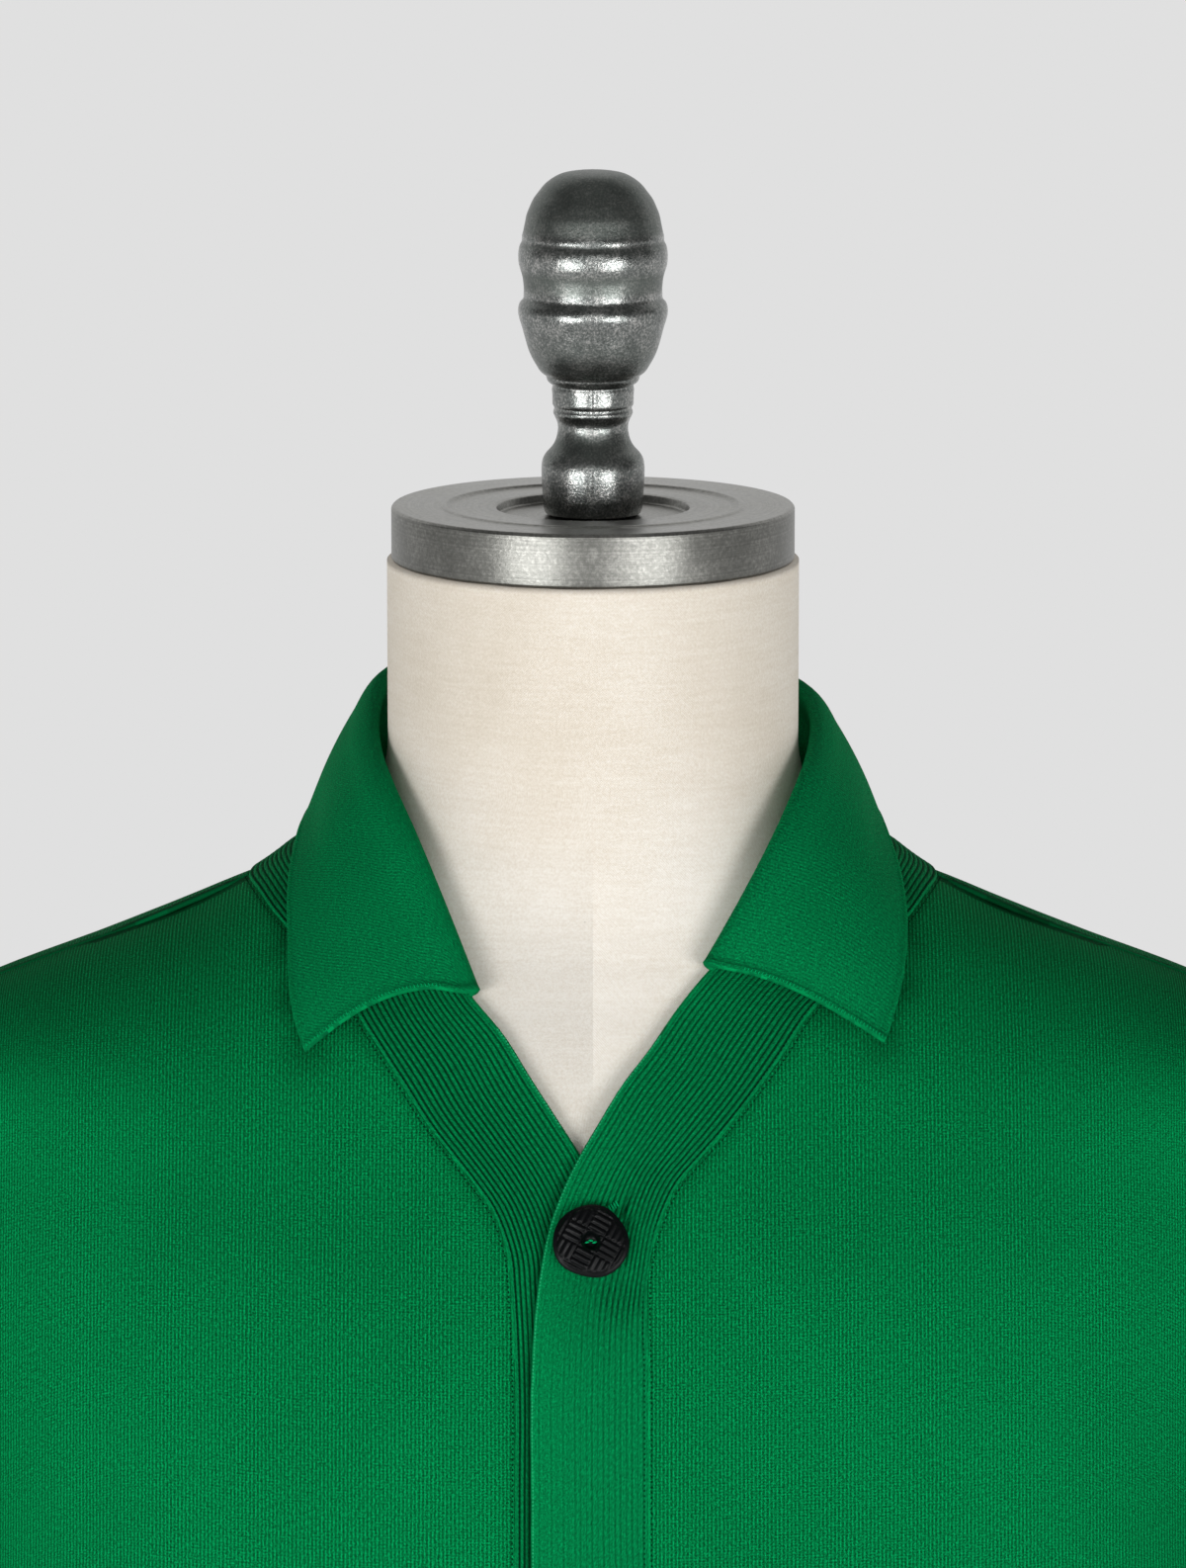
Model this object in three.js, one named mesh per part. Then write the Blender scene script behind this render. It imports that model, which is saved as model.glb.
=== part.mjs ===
// A fine-gauge knitted cardigan with a fold-over collar, buttoned on a tabletop dress form.
// Millimetres, +Z up. The front faces -Y and the wearer's left is +X.
// The origin is the middle of the form's flat underside.
import * as THREE from 'three';

// ---- cloth -------------------------------------------------------------------------------
const JERSEY = 1.5; // wall of the plain knit
const RIB_KNIT = 1.8; // wall of the ribbed bands, without the ribs' rise
const COLLAR_KNIT = 1.6;
const RIB_RISE = 0.35; // height of a rib above its valley's mean, on the bands' outer face
const BAND_RIBS = 20;
const SEAM_GAP = 0.3;
const OVERLAP_STEP = 2.7; // the left front lies this far above the right one where they cross
const OVERLAP_Z = { full: 652, none: 694 }; // the step fades out up the neckline
const OVERLAP_X = { full: 18, none: 62 }; // and across the left front

// ---- dress form --------------------------------------------------------------------------
const NECK_TOP = 809;
const FORM_COLUMNS = 24;
const CAP = { radius: 60, height: 16, facets: 28, recess: 12.8, seat: 0.3 };
const KNOB_FACETS = 14;

// Horizontal sections of the form: half width, centre depth, how far the front and the back
// reach from that centre, and the power of the section's rounded shape (2 is an ellipse).
const FORM = [
  { z: 0, side: 158, centre: 0, front: 106, back: 112, power: 2.4 },
  { z: 70, side: 168, centre: 0, front: 110, back: 122, power: 2.4 },
  { z: 140, side: 170, centre: 0, front: 110, back: 124, power: 2.4 },
  { z: 250, side: 154, centre: 0, front: 106, back: 100, power: 2.4 },
  { z: 340, side: 162, centre: 0, front: 113, back: 106, power: 2.4 },
  { z: 430, side: 176, centre: 0, front: 120, back: 116, power: 2.5 },
  { z: 500, side: 186, centre: 2, front: 120, back: 120, power: 2.5 },
  { z: 560, side: 195, centre: 4, front: 113, back: 117, power: 2.3 },
  { z: 610, side: 206, centre: 6, front: 102, back: 105, power: 2.1 },
  { z: 640, side: 211, centre: 6, front: 90, back: 92, power: 2 },
  { z: 658, side: 213, centre: 6, front: 82, back: 84, power: 2 },
  { z: 667, side: 206, centre: 6, front: 78, back: 81, power: 2 },
  { z: 679, side: 180.5, centre: 6, front: 73, back: 77, power: 2 },
  { z: 692, side: 144.5, centre: 6, front: 67, back: 73, power: 2 },
  { z: 706, side: 104, centre: 7, front: 63, back: 69, power: 2 },
  { z: 720, side: 80, centre: 8, front: 62, back: 66, power: 2 },
  { z: 735, side: 66, centre: 8, front: 61, back: 65, power: 2 },
  { z: 755, side: 61, centre: 8, front: 60.5, back: 61, power: 2 },
  { z: 809, side: 61, centre: 8, front: 61, back: 61, power: 2 },
];

// Room between the form and the middle of the cloth, measured level.
const EASE = [
  { z: 45, side: 14, front: 14, back: 12 },
  { z: 110, side: 13, front: 14, back: 11 },
  { z: 150, side: 18, front: 20, back: 15 },
  { z: 250, side: 28, front: 22, back: 22 },
  { z: 340, side: 22, front: 15, back: 16 },
  { z: 430, side: 14, front: 7, back: 8 },
  { z: 500, side: 12, front: 4, back: 5 },
  { z: 560, side: 11, front: 2.8, back: 5 },
  { z: 610, side: 10, front: 2.9, back: 8 },
  { z: 640, side: 8.5, front: 3.1, back: 14 },
  { z: 679, side: 7.5, front: 3.5, back: 16 },
  { z: 706, side: 12, front: 3.4, back: 15 },
  { z: 720, side: 13, front: 3.2, back: 10 },
  { z: 735, side: 5, front: 3.2, back: 4 },
  { z: 755, side: 6, front: 5, back: 5 },
];

// ---- front bands -------------------------------------------------------------------------
// Rows across a band from the centre back of the neck to the shoulder and the collar's end.
// A turn is the angle round the body from the middle of the front, in degrees.
const NECK_BAND = [
  { innerTurn: 180, innerZ: 745, seamTurn: 180, seamZ: 713 },
  { innerTurn: 155, innerZ: 744.2, seamTurn: 155, seamZ: 712.6 },
  { innerTurn: 130, innerZ: 742, seamTurn: 132, seamZ: 712.2 },
  { innerTurn: 108, innerZ: 738.5, seamTurn: 112, seamZ: 712.2 },
  { innerTurn: 88, innerZ: 734.5, seamTurn: 90, seamZ: 713.2 },
  { innerTurn: 70, innerZ: 731, seamTurn: 72, seamZ: 712.4 },
  { innerTurn: 54, innerZ: 726, seamTurn: 57, seamZ: 708.4 },
  { innerTurn: 40, innerZ: 719, seamTurn: 44, seamZ: 702.8 },
  { innerTurn: 28, innerZ: 711, seamTurn: 32, seamZ: 695.5 },
];
const SHOULDER_ROW = 4;

// Rows across each band down the V neck, from the collar's end to where the fronts run straight.
const LEFT_NECKLINE = [
  { innerX: 35, innerZ: 699, seamX: 64, seamZ: 687 },
  { innerX: 25, innerZ: 688, seamX: 54.5, seamZ: 674.5 },
  { innerX: 16.6, innerZ: 676.7, seamX: 45.3, seamZ: 663 },
  { innerX: 8.9, innerZ: 667.2, seamX: 37.6, seamZ: 654.3 },
  { innerX: 2, innerZ: 656.5, seamX: 30.4, seamZ: 646.9 },
  { innerX: -4.2, innerZ: 646.6, seamX: 24.6, seamZ: 640.7 },
  { innerX: -8.5, innerZ: 638, seamX: 20.5, seamZ: 633 },
  { innerX: -12, innerZ: 628.5, seamX: 17.5, seamZ: 625 },
  { innerX: -14.6, innerZ: 616, seamX: 15.7, seamZ: 614 },
];
const RIGHT_NECKLINE = [
  { innerX: -36, innerZ: 691.5, seamX: -64.5, seamZ: 680 },
  { innerX: -26, innerZ: 680.5, seamX: -55.5, seamZ: 667.5 },
  { innerX: -18.7, innerZ: 669.6, seamX: -48, seamZ: 656.7 },
  { innerX: -11, innerZ: 658.5, seamX: -41, seamZ: 648.5 },
  { innerX: -3.4, innerZ: 647.3, seamX: -34.6, seamZ: 641 },
  { innerX: 1, innerZ: 638, seamX: -29.6, seamZ: 634.5 },
  { innerX: 4, innerZ: 628.5, seamX: -26.2, seamZ: 627 },
  { innerX: 5.5, innerZ: 621, seamX: -24.4, seamZ: 621 },
  { innerX: 6, innerZ: 614, seamX: -23.8, seamZ: 614 },
];
// Levels of the rows below that, which both fronts share, and where their edges run.
const STRAIGHT_Z = [588, 555, 515, 465, 400, 320, 240, 170];
const LEFT_STRAIGHT = { innerX: -17, seamX: 16 };
const RIGHT_STRAIGHT = { innerX: 7.5, seamX: -22.5 };
const HEM_TOP = 110;
const HEM_MIDDLE = 78;
const HEM = 45;

// ---- armhole and side seam ---------------------------------------------------------------
// One row for each row of the front from the shoulder to the hem's top. First the level of the
// panels' outer edge and its turn on the front and on the back, then the back's line below the
// neck point, and the level of its middle.
const PANEL_ROWS = [
  { z: 660, front: 90, back: 90, neckTurn: 90, neckZ: 713.2, middleZ: 713 },
  { z: 651, front: 82, back: 97, neckTurn: 101, neckZ: 710.5, middleZ: 708 },
  { z: 638, front: 75, back: 103, neckTurn: 110, neckZ: 705, middleZ: 701 },
  { z: 622, front: 69, back: 108.5, neckTurn: 117, neckZ: 697, middleZ: 692 },
  { z: 603, front: 64, back: 113, neckTurn: 122, neckZ: 686, middleZ: 680 },
  { z: 582, front: 60.5, back: 116, neckTurn: 126, neckZ: 671, middleZ: 665 },
  { z: 560, front: 58.8, back: 117.5, neckTurn: 129, neckZ: 653, middleZ: 646 },
  { z: 538, front: 59, back: 117, neckTurn: 131, neckZ: 632, middleZ: 625 },
  { z: 517, front: 61.5, back: 114.5, neckTurn: 133, neckZ: 610, middleZ: 603 },
  { z: 497, front: 67, back: 109.5, neckTurn: 134, neckZ: 586, middleZ: 580 },
  { z: 478, front: 76, back: 101, neckTurn: 135, neckZ: 562, middleZ: 557 },
  { z: 463, front: 90, back: 90, neckTurn: 135, neckZ: 540, middleZ: 535 },
  { z: 449, front: 90, back: 90, neckTurn: 135, neckZ: 519, middleZ: 515 },
  { z: 434, front: 90, back: 90, neckTurn: 135, neckZ: 497, middleZ: 493 },
  { z: 418, front: 90, back: 90, neckTurn: 135, neckZ: 474, middleZ: 471 },
  { z: 400, front: 90, back: 90, neckTurn: 135, neckZ: 449, middleZ: 446 },
  { z: 378, front: 90, back: 90, neckTurn: 135, neckZ: 421, middleZ: 418 },
  { z: 350, front: 90, back: 90, neckTurn: 135, neckZ: 388, middleZ: 386 },
  { z: 312, front: 90, back: 90, neckTurn: 135, neckZ: 345, middleZ: 343 },
  { z: 265, front: 90, back: 90, neckTurn: 135, neckZ: 293, middleZ: 291 },
  { z: 215, front: 90, back: 90, neckTurn: 135, neckZ: 237, middleZ: 236 },
  { z: 160, front: 90, back: 90, neckTurn: 135, neckZ: 176, middleZ: 175 },
  { z: HEM_TOP, front: 90, back: 90, neckTurn: 135, neckZ: HEM_TOP, middleZ: HEM_TOP },
];
const UNDERARM_ROW = 11;
const FRONT_COLUMNS = 9;
const SHOULDER_COLUMNS = 5; // of the back panel, from an armhole to the line below the neck point

// ---- sleeves -----------------------------------------------------------------------------
// Level sections of a hanging sleeve: its centre, and its half sizes across and fore and aft.
const SLEEVE = [
  { z: 428, x: 252, y: 5, across: 41, along: 72 },
  { z: 395, x: 253, y: 4, across: 41, along: 71 },
  { z: 360, x: 253, y: 2, across: 38, along: 69 },
  { z: 325, x: 252, y: 0, across: 38, along: 66 },
  { z: 290, x: 252, y: -3, across: 35, along: 64 },
  { z: 250, x: 251, y: -6, across: 34, along: 61 },
  { z: 210, x: 250, y: -9, across: 32, along: 57 },
  { z: 170, x: 249, y: -12, across: 31, along: 53 },
  { z: 135, x: 248, y: -14, across: 30, along: 49 },
  { z: 112, x: 247, y: -15, across: 26, along: 41 },
];
const CUFF = [
  { z: 112, x: 247, y: -15, across: 26, along: 41 },
  { z: 104, x: 247, y: -15, across: 23.5, along: 37 },
  { z: 76, x: 247, y: -16, across: 23, along: 36.5 },
  { z: 50, x: 247, y: -17, across: 23.5, along: 37.5 },
];
const CAP_RINGS = 6; // rings that carry the sleeve's head from the armhole to its first section
const SLEEVE_FOLDS = [
  { z: 405, turn: 100, slant: 40, width: 26, depth: 5 },
  { z: 330, turn: 70, slant: -50, width: 24, depth: 5 },
  { z: 292, turn: 215, slant: 46, width: 24, depth: 5 },
  { z: 235, turn: 40, slant: 34, width: 22, depth: 4 },
  { z: 160, turn: 130, slant: -26, width: 20, depth: 4 },
];

// ---- collar ------------------------------------------------------------------------------
// One row for each row of the neck band and one for the collar's front end: the top of the
// fold, the falling edge, and how far the short end bows up.
const LEFT_COLLAR = [
  { foldX: 0, foldY: 78, foldZ: 769, edgeX: 0, edgeY: 99, edgeZ: 716, bow: 0 },
  { foldX: 30, foldY: 74, foldZ: 768, edgeX: 40, edgeY: 95, edgeZ: 716, bow: 0 },
  { foldX: 51, foldY: 60, foldZ: 767, edgeX: 66, edgeY: 79, edgeZ: 718, bow: 0 },
  { foldX: 62.5, foldY: 42, foldZ: 765, edgeX: 80.5, edgeY: 55, edgeZ: 725, bow: 0 },
  { foldX: 66, foldY: 20, foldZ: 761, edgeX: 84.8, edgeY: 26, edgeZ: 729, bow: 0 },
  { foldX: 65, foldY: -2, foldZ: 756, edgeX: 86.3, edgeY: 1, edgeZ: 725, bow: 0 },
  { foldX: 61, foldY: -24, foldZ: 749, edgeX: 89.2, edgeY: -20, edgeZ: 716.5, bow: 0 },
  { foldX: 53.5, foldY: -43, foldZ: 736, edgeX: 91.5, edgeY: -39, edgeZ: 707, bow: 0 },
  { foldX: 43.5, foldY: -55, foldZ: 719, edgeX: 89.5, edgeY: -54, edgeZ: 694, bow: 2 },
  { foldX: 32.6, foldY: -61.5, foldZ: 701, edgeX: 84, edgeY: -64, edgeZ: 678, bow: 7 },
];
const RIGHT_COLLAR = [
  { foldX: 0, foldY: 78, foldZ: 769, edgeX: 0, edgeY: 99, edgeZ: 716, bow: 0 },
  { foldX: -30, foldY: 74, foldZ: 769, edgeX: -40, edgeY: 95, edgeZ: 716, bow: 0 },
  { foldX: -51.5, foldY: 60, foldZ: 770, edgeX: -67, edgeY: 79, edgeZ: 719, bow: 0 },
  { foldX: -61.5, foldY: 43, foldZ: 769, edgeX: -81, edgeY: 55, edgeZ: 727, bow: 0 },
  { foldX: -64.8, foldY: 20, foldZ: 763, edgeX: -85, edgeY: 27, edgeZ: 729, bow: 0 },
  { foldX: -64, foldY: -3, foldZ: 756, edgeX: -86, edgeY: 0, edgeZ: 724, bow: 0 },
  { foldX: -59.5, foldY: -24, foldZ: 748, edgeX: -88, edgeY: -24, edgeZ: 715, bow: 0 },
  { foldX: -51.5, foldY: -42, foldZ: 734, edgeX: -88.3, edgeY: -42, edgeZ: 703, bow: 1 },
  { foldX: -43, foldY: -54.5, foldZ: 716, edgeX: -87.3, edgeY: -56, edgeZ: 689, bow: 6 },
  { foldX: -33.5, foldY: -64.8, foldZ: 693.8, edgeX: -83, edgeY: -66, edgeZ: 676, bow: 14 },
];
const FOLD_RADIUS = 1.7;
const FALL_BULGE = 4;
const FALL_CLEARANCE = 2.8; // least distance from the middle of the fall to that of the cloth below
const STAND_STEPS = 3;
const FALL_STEPS = 4;

// ---- buttons -----------------------------------------------------------------------------
const BUTTON = { radius: 10.8, rim: 2.6, dome: 3.9, well: 3.1, facets: 12 };
const BUTTONS = { x: -0.6, topZ: 625, pitch: 108, count: 6 };

// ---- colours -----------------------------------------------------------------------------
const FINISH = {
  knit: { color: 0x03703c, roughness: 0.85, metalness: 0 },
  rib: { color: 0x05693a, roughness: 0.85, metalness: 0 },
  canvas: { color: 0xe3d8c9, roughness: 0.9, metalness: 0 },
  aluminium: { color: 0x949494, roughness: 0.35, metalness: 1 },
  castIron: { color: 0x5b5d5c, roughness: 0.4, metalness: 1 },
  button: { color: 0x131818, roughness: 0.5, metalness: 0 },
};

// ==== mathematics =========================================================================

const radians = THREE.MathUtils.degToRad;
const degrees = THREE.MathUtils.radToDeg;
const lerp = THREE.MathUtils.lerp;
const smoothstep = THREE.MathUtils.smoothstep;

// The slopes of a smooth curve through a table's column that never overshoots its rows.
function slopes(table, name) {
  const rise = [];
  for (let i = 0; i + 1 < table.length; i += 1) {
    rise.push((table[i + 1][name] - table[i][name]) / (table[i + 1].z - table[i].z));
  }
  const found = [rise[0]];
  for (let i = 1; i < rise.length; i += 1) {
    const flat = rise[i - 1] * rise[i] <= 0;
    found.push(flat ? 0 : 2 / (1 / rise[i - 1] + 1 / rise[i]));
  }
  found.push(rise[rise.length - 1]);
  return found;
}

// A reader of a table's columns at any level between its rows.
function reader(table, names) {
  const slope = Object.fromEntries(names.map((name) => [name, slopes(table, name)]));
  return (level) => {
    const z = THREE.MathUtils.clamp(level, table[0].z, table[table.length - 1].z);
    let i = 0;
    while (i + 2 < table.length && table[i + 1].z < z) i += 1;
    const step = table[i + 1].z - table[i].z;
    const t = (z - table[i].z) / step;
    const value = (name) =>
      (2 * t ** 3 - 3 * t ** 2 + 1) * table[i][name] +
      (t ** 3 - 2 * t ** 2 + t) * step * slope[name][i] +
      (3 * t ** 2 - 2 * t ** 3) * table[i + 1][name] +
      (t ** 3 - t ** 2) * step * slope[name][i + 1];
    return Object.fromEntries(names.map((name) => [name, value(name)]));
  };
}

const formSection = reader(FORM, ['side', 'centre', 'front', 'back', 'power']);
const easeAt = reader(EASE, ['side', 'front', 'back']);

function clothSection(z) {
  const section = formSection(z);
  const ease = easeAt(z);
  section.side += ease.side;
  section.front += ease.front;
  section.back += ease.back;
  return section;
}

// The point of a level section at a turn, in radians.
function sectionPoint(section, turn, z) {
  const across = Math.sin(turn);
  const ahead = Math.cos(turn);
  const { power } = section;
  const reach = (Math.abs(across) ** power + Math.abs(ahead) ** power) ** (-1 / power);
  const depth = ahead > 0 ? section.front : section.back;
  return new THREE.Vector3(section.side * reach * across, section.centre - depth * reach * ahead, z);
}

// Shallow upright waves where the cloth hangs loose over the waist.
function drape(turn, z) {
  const loose = smoothstep(z, 120, 200) * (1 - smoothstep(z, 300, 400));
  return 2.2 * loose * Math.sin(9 * turn + 0.6) * Math.abs(Math.sin(turn));
}

function clothPoint(turn, z) {
  const section = clothSection(z);
  const wave = drape(turn, z);
  section.side += wave;
  section.front += wave;
  section.back += wave;
  return sectionPoint(section, turn, z);
}

function clothNormal(turn, z) {
  const d = 0.01;
  const round = clothPoint(turn + d, z).sub(clothPoint(turn - d, z));
  const up = clothPoint(turn, z + 0.5).sub(clothPoint(turn, z - 0.5));
  return round.cross(up).normalize();
}

// The turn at which the front of the cloth has a given x.
function turnAtX(x, z) {
  const { side, power } = clothSection(z);
  const share = Math.abs(x) / side;
  return Math.sign(x) * Math.atan2(share, (1 - share ** power) ** (1 / power));
}

// Roughly how far a point lies outside the middle of the cloth, and which way is out.
function clothDistance(point) {
  const measure = (p) => {
    const { side, centre, front, back, power } = clothSection(p.z);
    const depth = p.y < centre ? front : back;
    return ((Math.abs(p.x) / side) ** power + (Math.abs(p.y - centre) / depth) ** power) ** (1 / power) - 1;
  };
  const h = 0.5;
  const change = (dx, dy, dz) => {
    const shift = new THREE.Vector3(dx, dy, dz);
    return (measure(point.clone().add(shift)) - measure(point.clone().sub(shift))) / (2 * h);
  };
  const out = new THREE.Vector3(change(h, 0, 0), change(0, h, 0), change(0, 0, h));
  const steep = out.length();
  return { distance: measure(point) / steep, out: out.divideScalar(steep) };
}

function pushedClear(point, clearance) {
  for (let pass = 0; pass < 4; pass += 1) {
    const { distance, out } = clothDistance(point);
    if (distance < clearance) point.addScaledVector(out, clearance - distance);
  }
  return point;
}

// ==== walls ===============================================================================

// A closed wall round a grid of points. Each point has a place, an outward normal and the
// reach of its outer and inner face along it. The inner face may use every few columns only.
function wall(grid, { closedRound = false, innerStep = 1 } = {}) {
  const rows = grid.length;
  const columns = grid[0].length;
  const positions = [];
  const outer = [];
  const inner = [];
  const add = (knot, reach) => {
    const p = knot.point.clone().addScaledVector(knot.normal, reach);
    positions.push(p.x, p.y, p.z);
    return positions.length / 3 - 1;
  };
  grid.forEach((row) => {
    outer.push(row.map((knot) => add(knot, knot.out)));
    inner.push(row.map((knot, j) => (j % innerStep === 0 ? add(knot, -knot.in) : -1)));
  });
  const faces = [];
  const corner = (i) => new THREE.Vector3().fromArray(positions, 3 * i);
  // Four corners in turn, split along the shorter diagonal.
  const quad = (a, b, c, d) => {
    const split = corner(a).distanceTo(corner(c)) <= corner(b).distanceTo(corner(d));
    faces.push(...(split ? [[a, b, c], [a, c, d]] : [[b, c, d], [b, d, a]]));
  };
  const last = closedRound ? columns : columns - 1;
  const next = (j, step) => (closedRound ? (j + step) % columns : j + step);
  for (let i = 0; i + 1 < rows; i += 1) {
    for (let j = 0; j < last; j += 1) {
      quad(outer[i][j], outer[i + 1][j], outer[i + 1][next(j, 1)], outer[i][next(j, 1)]);
    }
    for (let j = 0; j < last; j += innerStep) {
      const k = next(j, innerStep);
      quad(inner[i][j], inner[i][k], inner[i + 1][k], inner[i + 1][j]);
    }
    if (!closedRound) {
      quad(outer[i][0], inner[i][0], inner[i + 1][0], outer[i + 1][0]);
      quad(outer[i][last], outer[i + 1][last], inner[i + 1][last], inner[i][last]);
    }
  }
  for (const [i, turned] of [[0, false], [rows - 1, true]]) {
    for (let j = 0; j < last; j += innerStep) {
      const k = next(j, innerStep);
      const strip = [];
      for (let s = 0; s < innerStep; s += 1) {
        strip.push([inner[i][j], outer[i][next(j, s)], outer[i][next(j, s + 1)]]);
      }
      strip.push([inner[i][j], outer[i][k], inner[i][k]]);
      strip.forEach(([a, b, c]) => faces.push(turned ? [a, c, b] : [a, b, c]));
    }
  }
  return solid(positions, faces);
}

// A geometry from positions and faces, with its faces turned outwards.
function solid(positions, faces) {
  const corner = (i) => new THREE.Vector3().fromArray(positions, 3 * i);
  const volume = faces.reduce((sum, [a, b, c]) => sum + corner(a).dot(corner(b).cross(corner(c))), 0);
  const index = volume > 0 ? faces.flat() : faces.flatMap(([a, b, c]) => [a, c, b]);
  const geometry = new THREE.BufferGeometry();
  geometry.setAttribute('position', new THREE.Float32BufferAttribute(positions, 3));
  geometry.setIndex(index);
  geometry.computeVertexNormals();
  return geometry;
}

// Draws the chosen edges of a grid in by half a seam's gap, so that neighbours stay apart.
function trimmed(grid, { top, bottom, first, last }) {
  const pulled = (line, beside) => line.map((knot, j) => {
    const edge = line[Math.min(j + 1, line.length - 1)].point.clone().sub(line[Math.max(j - 1, 0)].point);
    const way = beside[j].point.clone().sub(knot.point);
    way.projectOnPlane(edge.normalize()).normalize();
    return { ...knot, point: knot.point.clone().addScaledVector(way, SEAM_GAP / 2) };
  });
  const rows = grid.map((row) => [...row]);
  const column = (j) => rows.map((row) => row[j]);
  const end = rows.length - 1;
  const side = rows[0].length - 1;
  if (first) pulled(column(0), column(1)).forEach((knot, i) => { rows[i][0] = knot; });
  if (last) pulled(column(side), column(side - 1)).forEach((knot, i) => { rows[i][side] = knot; });
  if (top) rows[0] = pulled(rows[0], rows[1]);
  if (bottom) rows[end] = pulled(rows[end], rows[end - 1]);
  return rows;
}

// How far the left front is lifted over the right one.
function overlapLift(point) {
  const down = 1 - smoothstep(point.z, OVERLAP_Z.full, OVERLAP_Z.none);
  const across = 1 - smoothstep(point.x, OVERLAP_X.full, OVERLAP_X.none);
  return OVERLAP_STEP * down * across;
}

// A knot of a grid on the cloth's surface at a turn in radians and a level.
function knotAt(turn, z, thickness, lifted) {
  const point = clothPoint(turn, z);
  const normal = clothNormal(turn, z);
  if (lifted && point.y < 0) point.addScaledVector(normal, overlapLift(point));
  return { turn, point, normal, out: thickness / 2, in: thickness / 2 };
}

// ==== bands ===============================================================================

// The turn and level of both edges of a band, row by row from the centre back to the hem.
function bandRows(side, neckline, straight) {
  const neck = NECK_BAND.map((row) => ({
    inner: { turn: side * radians(row.innerTurn), z: row.innerZ },
    seam: { turn: side * radians(row.seamTurn), z: row.seamZ },
  }));
  const levels = [...STRAIGHT_Z, HEM_TOP, HEM_MIDDLE, HEM].map((z) => ({
    innerX: straight.innerX,
    innerZ: z,
    seamX: straight.seamX,
    seamZ: z,
  }));
  const front = [...neckline, ...levels].map((row) => ({
    inner: { turn: turnAtX(row.innerX, row.innerZ), z: row.innerZ },
    seam: { turn: turnAtX(row.seamX, row.seamZ), z: row.seamZ },
  }));
  return [...neck, ...front];
}

function bandGrid(rows, lifted) {
  const columns = 2 * BAND_RIBS;
  return rows.map(({ inner, seam }) => {
    const row = [];
    for (let j = 0; j <= columns; j += 1) {
      const share = j / columns;
      const knot = knotAt(lerp(inner.turn, seam.turn, share), lerp(inner.z, seam.z, share), RIB_KNIT, lifted);
      const edge = j === 0 || j === columns;
      const crest = j % 2 === 1 ? 1 : -1;
      knot.out += edge ? 0 : RIB_RISE * crest;
      row.push(knot);
    }
    return row;
  });
}

const leftBandRows = bandRows(1, LEFT_NECKLINE, LEFT_STRAIGHT);
const rightBandRows = bandRows(-1, RIGHT_NECKLINE, RIGHT_STRAIGHT);
const leftBandGrid = bandGrid(leftBandRows, true);
const rightBandGrid = bandGrid(rightBandRows, false);

const bandWall = (grid) => wall(trimmed(grid, { top: true, first: true, last: true }), { innerStep: 8 });

// ==== panels ==============================================================================

// Rows leave the neck steeply and level out towards the side, so that they never cross. This is
// how much of its fall a row from one turn to another has made at a turn between them, in degrees.
function fallen(turn, start, end) {
  const reach = (t) => 1 - (1 - (t - start) / (90 - start)) ** 2;
  return reach(turn) / reach(end);
}

// A front from its band's seam to the armhole and side, row by row from the shoulder.
function frontGrid(side, band, lifted) {
  return PANEL_ROWS.map((edge, i) => {
    const { seam } = band[SHOULDER_ROW + i];
    const start = side * degrees(seam.turn);
    const row = [];
    for (let j = 0; j <= FRONT_COLUMNS; j += 1) {
      const share = j / FRONT_COLUMNS;
      const turn = lerp(start, edge.front, share);
      const fall = i === 0 ? 1 - (1 - share) ** 2 : fallen(turn, start, edge.front);
      row.push(knotAt(side * radians(turn), lerp(seam.z, edge.z, fall), JERSEY, lifted));
    }
    return row;
  });
}

// The back, row by row: out from the middle, past the line below the neck point, to the armhole.
function backGrid() {
  const neck = NECK_BAND.slice(0, SHOULDER_ROW + 1);
  return PANEL_ROWS.map((row, i) => {
    const half = neck.map((edge, j) => {
      const share = j / SHOULDER_ROW;
      const turn = i === 0 ? edge.seamTurn : lerp(180, row.neckTurn, share);
      return { turn, z: i === 0 ? edge.seamZ : lerp(row.middleZ, row.neckZ, share ** 2) };
    });
    for (let j = 1; j <= SHOULDER_COLUMNS; j += 1) {
      const share = j / SHOULDER_COLUMNS;
      const turn = lerp(row.neckTurn, row.back, share);
      const fall = i === 0 ? 1 - (1 - share) ** 2 : fallen(turn, row.neckTurn, row.back);
      half.push({ turn, z: lerp(row.neckZ, row.z, fall) });
    }
    const left = half.slice(1).reverse();
    const right = half.map(({ turn, z }) => ({ turn: 360 - turn, z }));
    return [...left, ...right].map(({ turn, z }) => knotAt(radians(turn), z, JERSEY, false));
  });
}

const leftFrontGrid = frontGrid(1, leftBandRows, true);
const rightFrontGrid = frontGrid(-1, rightBandRows, false);
const backPanelGrid = backGrid();

const frontWall = (grid) => wall(trimmed(grid, { top: true, bottom: true, first: true, last: true }));

// The ribbed hem below a panel, on the panel's own columns. Beside a band it follows its seam.
function hemGrid(panel, straight, lifted) {
  const bottom = panel[panel.length - 1];
  return [HEM_TOP, HEM_MIDDLE, HEM].map((z) => {
    const side = bottom[bottom.length - 1].turn;
    const start = straight ? turnAtX(straight.seamX, z) : bottom[0].turn;
    return bottom.map((_, j) => knotAt(lerp(start, side, j / (bottom.length - 1)), z, RIB_KNIT, lifted));
  });
}

// ==== sleeves =============================================================================

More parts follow.
